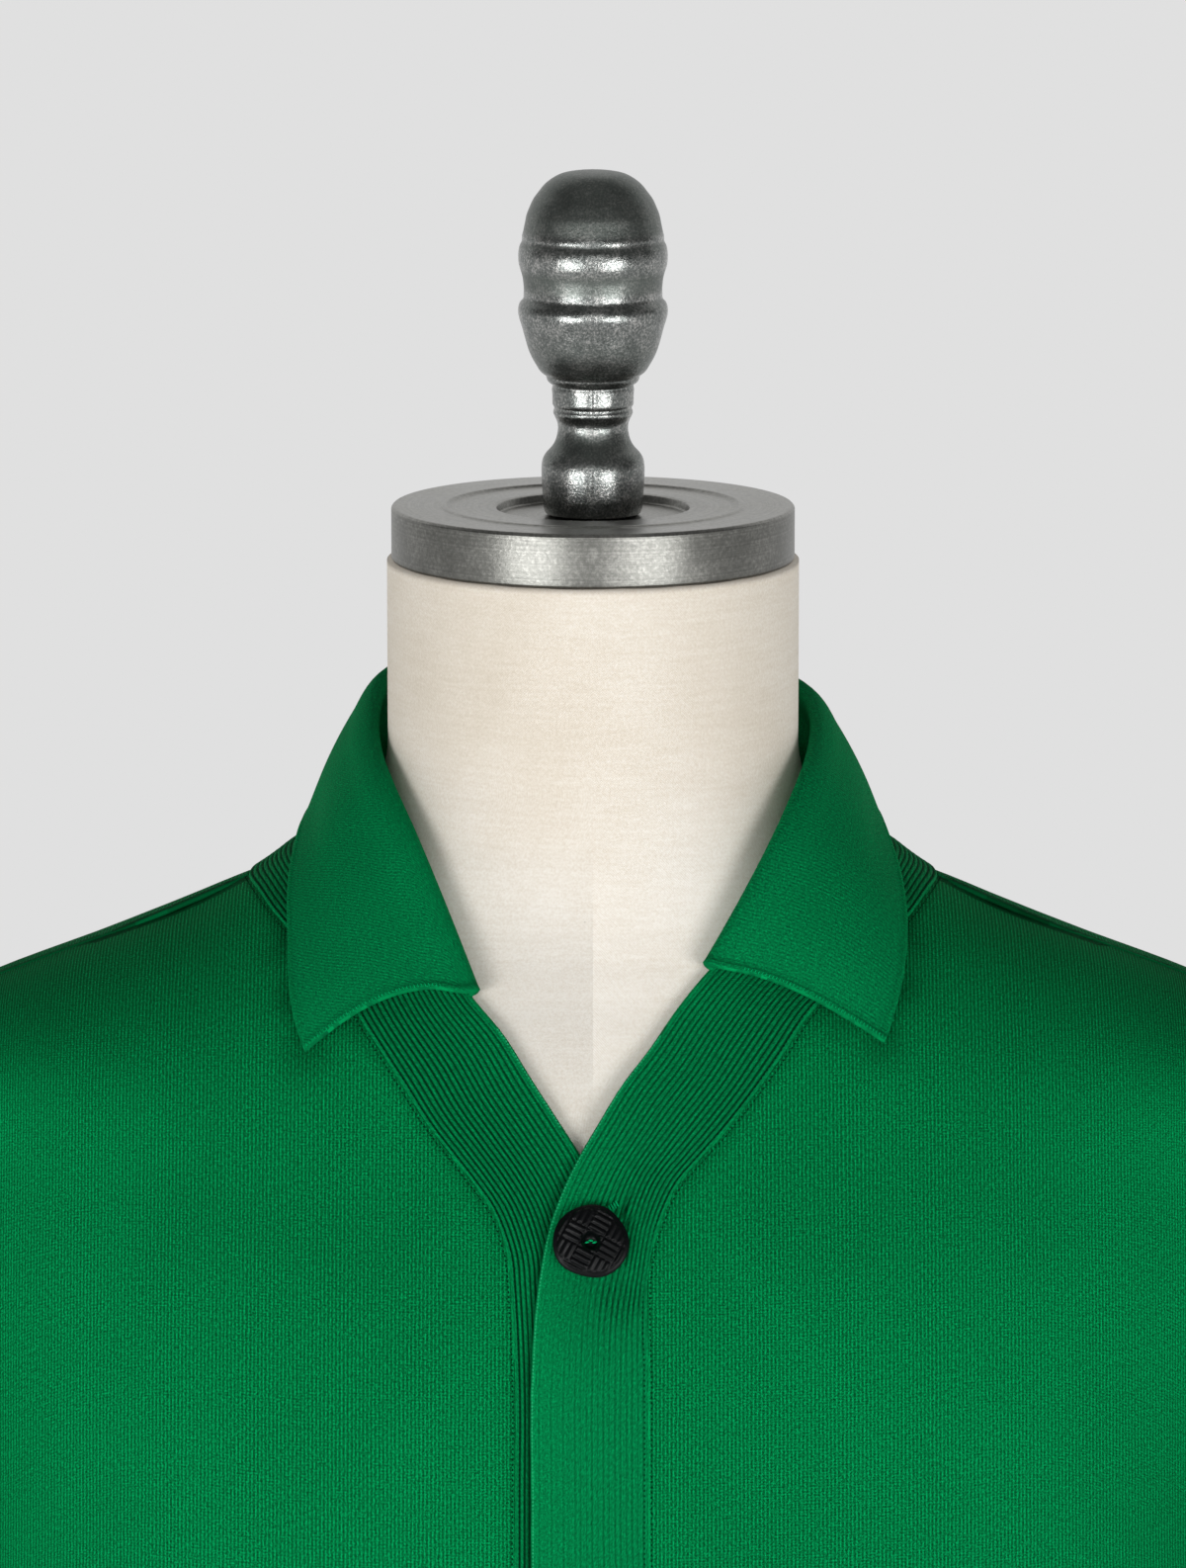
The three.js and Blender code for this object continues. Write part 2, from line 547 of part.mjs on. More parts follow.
// How far a fold draws the sleeve in at a place on it.
function sleeveFolds(turn, z) {
  return SLEEVE_FOLDS.reduce((sum, fold) => {
    const away = Math.atan2(Math.sin(turn - radians(fold.turn)), Math.cos(turn - radians(fold.turn)));
    const across = (z - fold.z - fold.slant * away) / fold.width;
    return sum - fold.depth * Math.exp(-(across ** 2) - (away / 1.1) ** 2);
  }, 0);
}

function ovalKnot(oval, turn, side, thickness, folded) {
  const normal = new THREE.Vector3(side * Math.cos(turn) / oval.across, -Math.sin(turn) / oval.along, 0);
  normal.normalize();
  const point = new THREE.Vector3(
    side * (oval.x + oval.across * Math.cos(turn)),
    oval.y - oval.along * Math.sin(turn),
    oval.z,
  );
  if (folded) point.addScaledVector(normal, sleeveFolds(turn, oval.z));
  return { point, normal, out: thickness / 2, in: thickness / 2 };
}

// The armhole's edge as one loop, from the shoulder down the front and up the back.
function armholeLoop(side) {
  const front = side > 0 ? leftFrontGrid : rightFrontGrid;
  const down = front.slice(0, UNDERARM_ROW + 1).map((row) => row[FRONT_COLUMNS]);
  const backColumn = side > 0 ? 0 : backPanelGrid[0].length - 1;
  const up = backPanelGrid.slice(1, UNDERARM_ROW).map((row) => row[backColumn]).reverse();
  return [...down, ...up];
}

// The sleeve's head leaves the armhole outwards and turns down into the first level section.
// It starts clear of the panel's outer face where it stands away from the panel.
function sleeveHead(side, loop, turns) {
  const ends = turns.map((turn) => ovalKnot(SLEEVE[0], turn, side, JERSEY, true).point);
  const ways = turns.map((turn) =>
    new THREE.Vector3(side * 0.95, -0.3 * Math.sin(turn), -0.15 - 0.6 * Math.cos(turn)).normalize(),
  );
  const starts = loop.map(({ point, normal }, j) => {
    const clear = 1.5 * SEAM_GAP + (JERSEY / 2) * Math.max(0, normal.dot(ways[j]));
    return point.clone().addScaledVector(ways[j], clear);
  });
  const ring = (t) => loop.map((knot, j) => {
    const length = starts[j].distanceTo(ends[j]) + 6;
    const point = starts[j].clone().multiplyScalar(2 * t ** 3 - 3 * t ** 2 + 1);
    point.addScaledVector(ways[j], length * (t ** 3 - 2 * t ** 2 + t));
    point.addScaledVector(ends[j], 3 * t ** 2 - 2 * t ** 3);
    point.z -= length * (t ** 3 - t ** 2);
    return { ...knot, point };
  });
  return Array.from({ length: CAP_RINGS }, (_, r) => ring(r / CAP_RINGS));
}

// Outward normals of a closed grid whose rows run down, worked out from its neighbours.
function withNormals(rings, side) {
  return rings.map((ring, i) =>
    ring.map((knot, j) => {
      const count = ring.length;
      const before = rings[Math.max(i - 1, 0)][j].point;
      const after = rings[Math.min(i + 1, rings.length - 1)][j].point;
      const round = ring[(j + 1) % count].point.clone().sub(ring[(j + count - 1) % count].point);
      const normal = after.clone().sub(before).cross(round).multiplyScalar(-side).normalize();
      return { ...knot, normal };
    }),
  );
}

function sleeveTurns(loop) {
  const count = loop.length;
  return loop.map((_, j) => (2 * Math.PI * j) / count);
}

function sleeveGrid(side) {
  const loop = armholeLoop(side);
  const turns = sleeveTurns(loop);
  const head = sleeveHead(side, loop, turns);
  const tube = SLEEVE.map((oval) => turns.map((turn) => ovalKnot(oval, turn, side, JERSEY, true)));
  return withNormals([...head, ...tube], side);
}

function cuffGrid(side, sleeve) {
  const turns = sleeveTurns(sleeve[0]);
  const rings = CUFF.map((oval) => turns.map((turn) => ovalKnot(oval, turn, side, RIB_KNIT, false)));
  rings[0] = sleeve[sleeve.length - 1].map((knot) => ({ ...knot, out: RIB_KNIT / 2, in: RIB_KNIT / 2 }));
  return rings;
}

// ==== collar ==============================================================================

// The middle of the collar at one place along the neck: up the stand, over the fold, down.
function collarSection(seat, row) {
  const fold = new THREE.Vector3(row.foldX, row.foldY, row.foldZ);
  const edge = new THREE.Vector3(row.edgeX, row.edgeY, row.edgeZ);
  const down = edge.clone().sub(fold).normalize();
  const away = seat.normal.clone().addScaledVector(down, -seat.normal.dot(down)).normalize();
  const middle = fold.clone().addScaledVector(down, FOLD_RADIUS);
  const standTop = middle.clone().addScaledVector(away, -FOLD_RADIUS);
  const fallTop = middle.clone().addScaledVector(away, FOLD_RADIUS);
  const points = [];
  const reach = seat.point.distanceTo(standTop);
  for (let s = 0; s < STAND_STEPS; s += 1) {
    const t = s / STAND_STEPS;
    const point = seat.point.clone().multiplyScalar(2 * t ** 3 - 3 * t ** 2 + 1);
    point.addScaledVector(seat.inward, reach * (t ** 3 - 2 * t ** 2 + t));
    point.addScaledVector(standTop, 3 * t ** 2 - 2 * t ** 3);
    point.addScaledVector(down, -reach * (t ** 3 - t ** 2));
    points.push(point);
  }
  for (const bend of [-90, -35, 35]) {
    const point = middle.clone().addScaledVector(away, FOLD_RADIUS * Math.sin(radians(bend)));
    points.push(point.addScaledVector(down, -FOLD_RADIUS * Math.cos(radians(bend))));
  }
  const control = fallTop.clone().lerp(edge, 0.5).addScaledVector(away, FALL_BULGE);
  control.z += row.bow;
  for (let s = 0; s <= FALL_STEPS; s += 1) {
    const t = s / FALL_STEPS;
    const point = fallTop.clone().multiplyScalar((1 - t) ** 2);
    point.addScaledVector(control, 2 * t * (1 - t)).addScaledVector(edge, t ** 2);
    points.push(s === 0 ? point : pushedClear(point, FALL_CLEARANCE));
  }
  return points;
}

// The band's inner edge at a row, with the way that leads off the band.
function collarSeat(band, row) {
  const [edge, beside] = band[row];
  const inward = edge.point.clone().sub(beside.point).normalize();
  return { point: edge.point.clone().addScaledVector(inward, SEAM_GAP), normal: edge.normal, inward };
}

function collarGrid() {
  const end = NECK_BAND.length;
  const stations = [];
  for (let row = end; row >= 0; row -= 1) {
    stations.push({ seat: collarSeat(leftBandGrid, row), row: LEFT_COLLAR[row] });
  }
  for (let row = 1; row <= end; row += 1) {
    stations.push({ seat: collarSeat(rightBandGrid, row), row: RIGHT_COLLAR[row] });
  }
  const sections = stations.map(({ seat, row }) => collarSection(seat, row));
  const lines = sections[0].map((_, k) => sections.map((section) => section[k]));
  const fine = lines.map((line, k) => halved(line, k === 0));
  const seats = stations.flatMap(({ seat }, i) => {
    const following = stations[i + 1];
    if (!following) return [seat];
    const normal = seat.normal.clone().add(following.seat.normal).normalize();
    return [seat, { ...seat, normal }];
  });
  return fine[0].map((_, i) =>
    fine.map((line, k) => ({
      point: line[i],
      normal: k === 0 ? seats[i].normal.clone().negate() : surfaceNormal(fine, i, k),
      out: COLLAR_KNIT / 2,
      in: COLLAR_KNIT / 2,
    })),
  );
}

// A line of points with one more between each two, on a smooth curve or on straight chords.
function halved(line, straight) {
  const curve = new THREE.CatmullRomCurve3(line, false, 'catmullrom', 0.5);
  const steps = 2 * (line.length - 1);
  return Array.from({ length: steps + 1 }, (_, i) => {
    if (i % 2 === 0) return line[i / 2].clone();
    return straight ? line[(i - 1) / 2].clone().lerp(line[(i + 1) / 2], 0.5) : curve.getPoint(i / steps);
  });
}

// The side of the collar that shows once it has folded over.
function surfaceNormal(lines, i, k) {
  const line = lines[k];
  const alongNeck = line[Math.min(i + 1, line.length - 1)].clone().sub(line[Math.max(i - 1, 0)]);
  const across = lines[Math.min(k + 1, lines.length - 1)][i].clone().sub(lines[Math.max(k - 1, 0)][i]);
  return across.cross(alongNeck).normalize();
}

// ==== buttons =============================================================================

function buttonMesh(i) {
  const z = BUTTONS.topZ - i * BUTTONS.pitch;
  const seat = knotAt(turnAtX(BUTTONS.x, z), z, RIB_KNIT, true);
  const { radius, rim, dome, well } = BUTTON;
  const outline = [
    [0, 0],
    [radius * 0.9, 0],
    [radius, rim * 0.5],
    [radius * 0.93, rim],
    [radius * 0.5, dome],
    [radius * 0.18, dome],
    [0, well],
  ].map(([x, y]) => new THREE.Vector2(x, y));
  const mesh = piece(`button_${i + 1}`, new THREE.LatheGeometry(outline, BUTTON.facets), 'button');
  const lift = RIB_KNIT / 2 + RIB_RISE + SEAM_GAP + 0.2;
  mesh.position.copy(seat.point).addScaledVector(seat.normal, lift);
  mesh.quaternion.setFromUnitVectors(new THREE.Vector3(0, 1, 0), seat.normal);
  return mesh;
}

// ==== dress form ==========================================================================

function formGeometry() {
  const levels = [];
  FORM.forEach(({ z }, i) => {
    levels.push(z);
    const next = FORM[i + 1];
    if (next && next.z - z > 50) levels.push((z + next.z) / 2);
  });
  const positions = [];
  const faces = [];
  levels.forEach((z) => {
    for (let j = 0; j < FORM_COLUMNS; j += 1) {
      const p = sectionPoint(formSection(z), (2 * Math.PI * j) / FORM_COLUMNS, z);
      positions.push(p.x, p.y, p.z);
    }
  });
  const at = (i, j) => i * FORM_COLUMNS + (j % FORM_COLUMNS);
  for (let i = 0; i + 1 < levels.length; i += 1) {
    for (let j = 0; j < FORM_COLUMNS; j += 1) {
      faces.push([at(i, j), at(i, j + 1), at(i + 1, j + 1)], [at(i, j), at(i + 1, j + 1), at(i + 1, j)]);
    }
  }
  positions.push(0, 0, 0);
  positions.push(0, formSection(NECK_TOP).centre, NECK_TOP);
  const foot = positions.length / 3 - 2;
  for (let j = 0; j < FORM_COLUMNS; j += 1) {
    faces.push([foot, at(0, j + 1), at(0, j)]);
    faces.push([foot + 1, at(levels.length - 1, j), at(levels.length - 1, j + 1)]);
  }
  return solid(positions, faces);
}

// Half outlines as a distance from the axis and a height, turned about +Z at the neck.
function turnedPiece(name, outline, facets, base, finish) {
  const points = outline.map(({ radius, height }) => new THREE.Vector2(radius, height));
  const mesh = piece(name, new THREE.LatheGeometry(points, facets), finish);
  mesh.rotation.x = Math.PI / 2;
  mesh.position.set(0, formSection(NECK_TOP).centre, base);
  return mesh;
}

const CAP_OUTLINE = [
  { radius: 0, height: 0 },
  { radius: 59.2, height: 0 },
  { radius: CAP.radius, height: 0.8 },
  { radius: CAP.radius, height: 15 },
  { radius: 59, height: CAP.height },
  { radius: 44, height: CAP.height },
  { radius: 43, height: 15.3 },
  { radius: 28.6, height: 15.4 },
  { radius: 27.9, height: CAP.recess },
  { radius: 0, height: CAP.recess },
];
const KNOB_OUTLINE = [
  { radius: 0, height: 0 },
  { radius: 14.2, height: 0 },
  { radius: 14.8, height: 1.4 },
  { radius: 15.2, height: 11.6 },
  { radius: 15, height: 16 },
  { radius: 12.4, height: 19.9 },
  { radius: 10.4, height: 25.8 },
  { radius: 11.7, height: 30.4 },
  { radius: 12.1, height: 38 },
  { radius: 13.7, height: 40.8 },
  { radius: 16.8, height: 44.6 },
  { radius: 19.1, height: 49.3 },
  { radius: 20.7, height: 55.1 },
  { radius: 22, height: 59.8 },
  { radius: 21.2, height: 63.8 },
  { radius: 20.4, height: 67.8 },
  { radius: 21.9, height: 75.5 },
  { radius: 21.4, height: 80.2 },
  { radius: 20, height: 86.7 },
  { radius: 17.6, height: 93.4 },
  { radius: 14.7, height: 97.2 },
  { radius: 10.2, height: 100.7 },
  { radius: 5.2, height: 101.8 },
  { radius: 0, height: 101.9 },
];

// ==== the whole ===========================================================================

function piece(name, geometry, finish) {
  const mesh = new THREE.Mesh(geometry, new THREE.MeshStandardMaterial(FINISH[finish]));
  mesh.name = name;
  return mesh;
}

function dressForm() {
  const group = new THREE.Group();
  const capBase = NECK_TOP + CAP.seat;
  group.add(piece('form_torso', formGeometry(), 'canvas'));
  group.add(turnedPiece('neck_cap', CAP_OUTLINE, CAP.facets, capBase, 'aluminium'));
  group.add(turnedPiece('knob', KNOB_OUTLINE, KNOB_FACETS, capBase + CAP.recess + CAP.seat, 'castIron'));
  return group;
}

function cardigan() {
  const group = new THREE.Group();
  group.add(piece('front_left', frontWall(leftFrontGrid), 'knit'));
  group.add(piece('front_right', frontWall(rightFrontGrid), 'knit'));
  group.add(piece('back', frontWall(backPanelGrid), 'knit'));
  group.add(piece('band_left', bandWall(leftBandGrid), 'rib'));
  group.add(piece('band_right', bandWall(rightBandGrid), 'rib'));
  for (const [name, side] of [['left', 1], ['right', -1]]) {
    const sleeve = sleeveGrid(side);
    const cuff = cuffGrid(side, sleeve);
    group.add(piece(`sleeve_${name}`, wall(trimmed(sleeve, { bottom: true }), { closedRound: true }), 'knit'));
    group.add(piece(`cuff_${name}`, wall(trimmed(cuff, { top: true }), { closedRound: true }), 'rib'));
  }
  const hemEdges = { top: true, first: true, last: true };
  group.add(piece('hem_left', wall(trimmed(hemGrid(leftFrontGrid, LEFT_STRAIGHT, true), hemEdges)), 'rib'));
  group.add(piece('hem_right', wall(trimmed(hemGrid(rightFrontGrid, RIGHT_STRAIGHT, false), hemEdges)), 'rib'));
  group.add(piece('hem_back', wall(trimmed(hemGrid(backPanelGrid, null, false), hemEdges)), 'rib'));
  group.add(piece('collar', wall(collarGrid()), 'knit'));
  for (let i = 0; i < BUTTONS.count; i += 1) group.add(buttonMesh(i));
  return group;
}

const object = new THREE.Group();
object.add(dressForm(), cardigan());

export default object;
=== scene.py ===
"""A fine-gauge knitted cardigan with a fold-over collar, buttoned on a tabletop dress form.

Metres, +Z up. The front faces -Y and the wearer's left is +X. The tables below are in millimetres.
"""

import math

import bpy
import numpy as np
from mathutils import Matrix, Vector


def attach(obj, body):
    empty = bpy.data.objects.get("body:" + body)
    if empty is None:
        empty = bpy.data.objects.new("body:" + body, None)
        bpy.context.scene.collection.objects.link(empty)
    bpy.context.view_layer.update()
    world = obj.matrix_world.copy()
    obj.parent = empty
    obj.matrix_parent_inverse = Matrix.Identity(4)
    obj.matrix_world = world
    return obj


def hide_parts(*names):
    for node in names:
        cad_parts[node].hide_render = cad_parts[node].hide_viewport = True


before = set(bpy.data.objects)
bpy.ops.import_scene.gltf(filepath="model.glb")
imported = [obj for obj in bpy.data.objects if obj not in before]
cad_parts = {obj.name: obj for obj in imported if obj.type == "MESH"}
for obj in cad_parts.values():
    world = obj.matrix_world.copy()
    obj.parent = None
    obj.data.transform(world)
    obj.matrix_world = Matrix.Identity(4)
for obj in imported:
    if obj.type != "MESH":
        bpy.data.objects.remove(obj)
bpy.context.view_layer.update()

MM = 0.001

# ---- cloth, millimetres ------------------------------------------------------------------
JERSEY = 1.5  # wall of the plain knit
RIB_KNIT = 1.8  # wall of the ribbed knit
COLLAR_KNIT = 1.6
WALE = 1.15  # spacing of the plain knit's upright rows of stitches
COURSE = 0.85
BAND_WIDTH, BAND_RIBS = 33, 20
HEM_RIB = 1.9  # from one rib to the next on hems and cuffs
RIB_STEPS = 6  # columns of the mesh to each of those ribs
SEAM_GAP = 0.3
OVERLAP_STEP = 2.7
OVERLAP_Z = (652, 694)
OVERLAP_X = (18, 62)

# ---- dress form --------------------------------------------------------------------------
NECK_TOP, NECK_RADIUS = 809, 61
AXIS_Y = 8  # how far back the neck stands, with its cap and knob
CHEST_Z = 500
# z, half width, centre depth, reach forward, reach back, power of the rounded section
FORM = np.array([
    (0, 158, 0, 106, 112, 2.4),
    (70, 168, 0, 110, 122, 2.4),
    (140, 170, 0, 110, 124, 2.4),
    (250, 154, 0, 106, 100, 2.4),
    (340, 162, 0, 113, 106, 2.4),
    (430, 176, 0, 120, 116, 2.5),
    (500, 186, 2, 120, 120, 2.5),
    (560, 195, 4, 113, 117, 2.3),
    (610, 206, 6, 102, 105, 2.1),
    (640, 211, 6, 90, 92, 2),
    (658, 213, 6, 82, 84, 2),
    (667, 206, 6, 78, 81, 2),
    (679, 180.5, 6, 73, 77, 2),
    (692, 144.5, 6, 67, 73, 2),
    (706, 104, 7, 63, 69, 2),
    (720, 80, 8, 62, 66, 2),
    (735, 66, 8, 61, 65, 2),
    (755, 61, 8, 60.5, 61, 2),
    (NECK_TOP, 61, 8, 61, 61, 2),
], float)
# z, room between the form and the middle of the cloth: at the side, in front and behind
EASE = np.array([
    (45, 14, 14, 12),
    (110, 13, 14, 11),
    (150, 18, 20, 15),
    (250, 28, 22, 22),
    (340, 22, 15, 16),
    (430, 14, 7, 8),
    (500, 12, 4, 5),
    (560, 11, 2.8, 5),
    (610, 10, 2.9, 8),
    (640, 8.5, 3.1, 14),
    (679, 7.5, 3.5, 16),
    (706, 12, 3.4, 15),
    (720, 13, 3.2, 10),
    (735, 5, 3.2, 4),
    (755, 6, 5, 5),
], float)

# ---- front bands: turn (degrees from the middle of the front) or x, and z, of both edges ----
NECK_BAND = [
    (180, 745, 180, 713),
    (155, 744.2, 155, 712.6),
    (130, 742, 132, 712.2),
    (108, 738.5, 112, 712.2),
    (88, 734.5, 90, 713.2),
    (70, 731, 72, 712.4),
    (54, 726, 57, 708.4),
    (40, 719, 44, 702.8),
    (28, 711, 32, 695.5),
]
SHOULDER_ROW = 4
LEFT_NECKLINE = [
    (35, 699, 64, 687),
    (25, 688, 54.5, 674.5),
    (16.6, 676.7, 45.3, 663),
    (8.9, 667.2, 37.6, 654.3),
    (2, 656.5, 30.4, 646.9),
    (-4.2, 646.6, 24.6, 640.7),
    (-8.5, 638, 20.5, 633),
    (-12, 628.5, 17.5, 625),
    (-14.6, 616, 15.7, 614),
]
RIGHT_NECKLINE = [
    (-36, 691.5, -64.5, 680),
    (-26, 680.5, -55.5, 667.5),
    (-18.7, 669.6, -48, 656.7),
    (-11, 658.5, -41, 648.5),
    (-3.4, 647.3, -34.6, 641),
    (1, 638, -29.6, 634.5),
    (4, 628.5, -26.2, 627),
    (5.5, 621, -24.4, 621),
    (6, 614, -23.8, 614),
]
STRAIGHT_Z = [588, 555, 515, 465, 400, 320, 240, 170]
LEFT_STRAIGHT = (-17, 16)
RIGHT_STRAIGHT = (7.5, -22.5)
HEM_TOP, HEM_MIDDLE, HEM = 110, 78, 45

# ---- armhole and side seam: z of the panels' outer edge, its turn on the front and the back,
# then turn and z of the back's line below the neck point, and z of the back's middle
PANEL_ROWS = [
    (660, 90, 90, 90, 713.2, 713),
    (651, 82, 97, 101, 710.5, 708),
    (638, 75, 103, 110, 705, 701),
    (622, 69, 108.5, 117, 697, 692),
    (603, 64, 113, 122, 686, 680),
    (582, 60.5, 116, 126, 671, 665),
    (560, 58.8, 117.5, 129, 653, 646),
    (538, 59, 117, 131, 632, 625),
    (517, 61.5, 114.5, 133, 610, 603),
    (497, 67, 109.5, 134, 586, 580),
    (478, 76, 101, 135, 562, 557),
    (463, 90, 90, 135, 540, 535),
    (449, 90, 90, 135, 519, 515),
    (434, 90, 90, 135, 497, 493),
    (418, 90, 90, 135, 474, 471),
    (400, 90, 90, 135, 449, 446),
    (378, 90, 90, 135, 421, 418),
    (350, 90, 90, 135, 388, 386),
    (312, 90, 90, 135, 345, 343),
    (265, 90, 90, 135, 293, 291),
    (215, 90, 90, 135, 237, 236),
    (160, 90, 90, 135, 176, 175),
    (HEM_TOP, 90, 90, 135, HEM_TOP, HEM_TOP),
]
UNDERARM_ROW = 11
FRONT_COLUMNS = 9
SHOULDER_COLUMNS = 5

# ---- sleeves: z, centre x and y, half size across and fore and aft -------------------------
SLEEVE = [
    (428, 252, 5, 41, 72),
    (395, 253, 4, 41, 71),
    (360, 253, 2, 38, 69),
    (325, 252, 0, 38, 66),
    (290, 252, -3, 35, 64),
    (250, 251, -6, 34, 61),
    (210, 250, -9, 32, 57),
    (170, 249, -12, 31, 53),
    (135, 248, -14, 30, 49),
    (112, 247, -15, 26, 41),
]
CUFF = [
    (112, 247, -15, 26, 41),
    (104, 247, -15, 23.5, 37),
    (76, 247, -16, 23, 36.5),
    (50, 247, -17, 23.5, 37.5),
]
CAP_RINGS = 6
# z, turn, slant, width, depth of each fold round a sleeve
SLEEVE_FOLDS = [
    (405, 100, 40, 26, 5),
    (330, 70, -50, 24, 5),
    (292, 215, 46, 24, 5),
    (235, 40, 34, 22, 4),
    (160, 130, -26, 20, 4),
]

# ---- collar: the top of the fold and the falling edge at each row, and how the end bows -----
LEFT_COLLAR = [
    (0, 78, 769, 0, 99, 716, 0),
    (30, 74, 768, 40, 95, 716, 0),
    (51, 60, 767, 66, 79, 718, 0),
    (62.5, 42, 765, 80.5, 55, 725, 0),
    (66, 20, 761, 84.8, 26, 729, 0),
    (65, -2, 756, 86.3, 1, 725, 0),
    (61, -24, 749, 89.2, -20, 716.5, 0),
    (53.5, -43, 736, 91.5, -39, 707, 0),
    (43.5, -55, 719, 89.5, -54, 694, 2),
    (32.6, -61.5, 701, 84, -64, 678, 7),
]
RIGHT_COLLAR = [
    (0, 78, 769, 0, 99, 716, 0),
    (-30, 74, 769, -40, 95, 716, 0),
    (-51.5, 60, 770, -67, 79, 719, 0),
    (-61.5, 43, 769, -81, 55, 727, 0),
    (-64.8, 20, 763, -85, 27, 729, 0),
    (-64, -3, 756, -86, 0, 724, 0),
    (-59.5, -24, 748, -88, -24, 715, 0),
    (-51.5, -42, 734, -88.3, -42, 703, 1),
    (-43, -54.5, 716, -87.3, -56, 689, 6),
    (-33.5, -64.8, 693.8, -83, -66, 676, 14),
]
FOLD_RADIUS = 1.7
FALL_BULGE = 4
FALL_CLEARANCE = 2.8
UNDER_COLLAR = 684  # above this level the collar hides the edges of the bands
STAND_STEPS = 3
FALL_STEPS = 4

BUTTON_X, BUTTON_TOP_Z, BUTTON_PITCH, BUTTON_COUNT, BUTTON_RADIUS = -0.6, 625, 108, 6, 10.8

# ==== mathematics =========================================================================


def smooth(x, low, high):
    t = np.clip((x - low) / (high - low), 0, 1)
    return t * t * (3 - 2 * t)


def mix(a, b, t):
    return a + (b - a) * t


def unit(v):
    return v / np.maximum(np.linalg.norm(v, axis=-1, keepdims=True), 1e-12)


def hermite(t, start, leave, end, arrive):
    """A curve from start to end that leaves and arrives by the given ways, read at t."""
    value = (2 * t**3 - 3 * t**2 + 1) * start + (t**3 - 2 * t**2 + t) * leave
    return value + (3 * t**2 - 2 * t**3) * end + (t**3 - t**2) * arrive


def reader(table):
    """Reads every column of a table at any z, on curves that never overshoot its rows."""
    z = table[:, 0]
    step = np.diff(z)[:, None]
    rise = np.diff(table[:, 1:], axis=0) / step
    slope = np.zeros_like(table[:, 1:])
    slope[0], slope[-1] = rise[0], rise[-1]
    same = rise[:-1] * rise[1:] > 0
    safe = np.where(same, rise[:-1], 1), np.where(same, rise[1:], 1)
    slope[1:-1] = np.where(same, 2 / (1 / safe[0] + 1 / safe[1]), 0)

    def read(level):
        level = np.clip(np.asarray(level, float), z[0], z[-1])
        i = np.clip(np.searchsorted(z, level, side="left") - 1, 0, len(z) - 2)
        h = (z[i + 1] - z[i])[..., None]
        t = (level - z[i])[..., None] / h
        value = hermite(t, table[i, 1:], h * slope[i], table[i + 1, 1:], h * slope[i + 1])
        return np.moveaxis(value, -1, 0)

    return read


form_section = reader(FORM)
ease_at = reader(EASE)


def cloth_section(z):
    side, centre, front, back, power = form_section(z)
    ease = ease_at(z)
    return side + ease[0], centre, front + ease[1], back + ease[2], power


def section_point(section, turn, z):
    side, centre, front, back, power = section
    across, ahead = np.sin(turn), np.cos(turn)
    reach = (np.abs(across) ** power + np.abs(ahead) ** power) ** (-1 / power)
    depth = np.where(ahead > 0, front, back)
    x, y = side * reach * across, centre - depth * reach * ahead
    return np.stack([x, y, np.broadcast_to(z, x.shape).astype(float)], -1)


def cloth_point(turn, z):
    """The middle of the cloth round the body, with shallow upright waves over the waist."""
    turn, z = np.asarray(turn, float), np.asarray(z, float)
    side, centre, front, back, power = cloth_section(z)
    loose = smooth(z, 120, 200) * (1 - smooth(z, 300, 400))
    wave = 2.2 * loose * np.sin(9 * turn + 0.6) * np.abs(np.sin(turn))
    return section_point((side + wave, centre, front + wave, back + wave, power), turn, z)


def cloth_normal(turn, z):
    d = 0.01
    around = cloth_point(turn + d, z) - cloth_point(turn - d, z)
    up = cloth_point(turn, z + 0.5) - cloth_point(turn, z - 0.5)
    return unit(np.cross(around, up))


def turn_at_x(x, z):
    side, _, _, _, power = cloth_section(z)
    share = np.abs(x) / side
    return np.sign(x) * np.arctan2(share, (1 - share**power) ** (1 / power))


def cloth_distance(p):
    """How far points lie outside the middle of the cloth, and which way is out."""

    def measure(q):
        side, centre, front, back, power = cloth_section(q[..., 2])
        depth = np.where(q[..., 1] < centre, front, back)
        across, deep = np.abs(q[..., 0]) / side, np.abs(q[..., 1] - centre) / depth
        return (across**power + deep**power) ** (1 / power) - 1

    h = 0.5
    out = np.stack([(measure(p + d) - measure(p - d)) / (2 * h) for d in np.eye(3) * h], -1)
    steep = np.linalg.norm(out, axis=-1)
    return measure(p) / steep, out / steep[..., None]


def pushed_clear(p, clearance):
    for _ in range(4):
        distance, out = cloth_distance(p)
        p = p + out * np.maximum(clearance - distance, 0)[..., None]
    return p


def overlap_lift(p):
    down = 1 - smooth(p[..., 2], *OVERLAP_Z)
    across = 1 - smooth(p[..., 0], *OVERLAP_X)
    return OVERLAP_STEP * down * across * (p[..., 1] < 0)


def on_cloth(turn, z, lifted=False):
    """Points of the middle of the cloth at turns (radians) and levels."""
    p = cloth_point(turn, z)
    if lifted:
        p = p + cloth_normal(turn, z) * overlap_lift(p)[..., None]
    return p


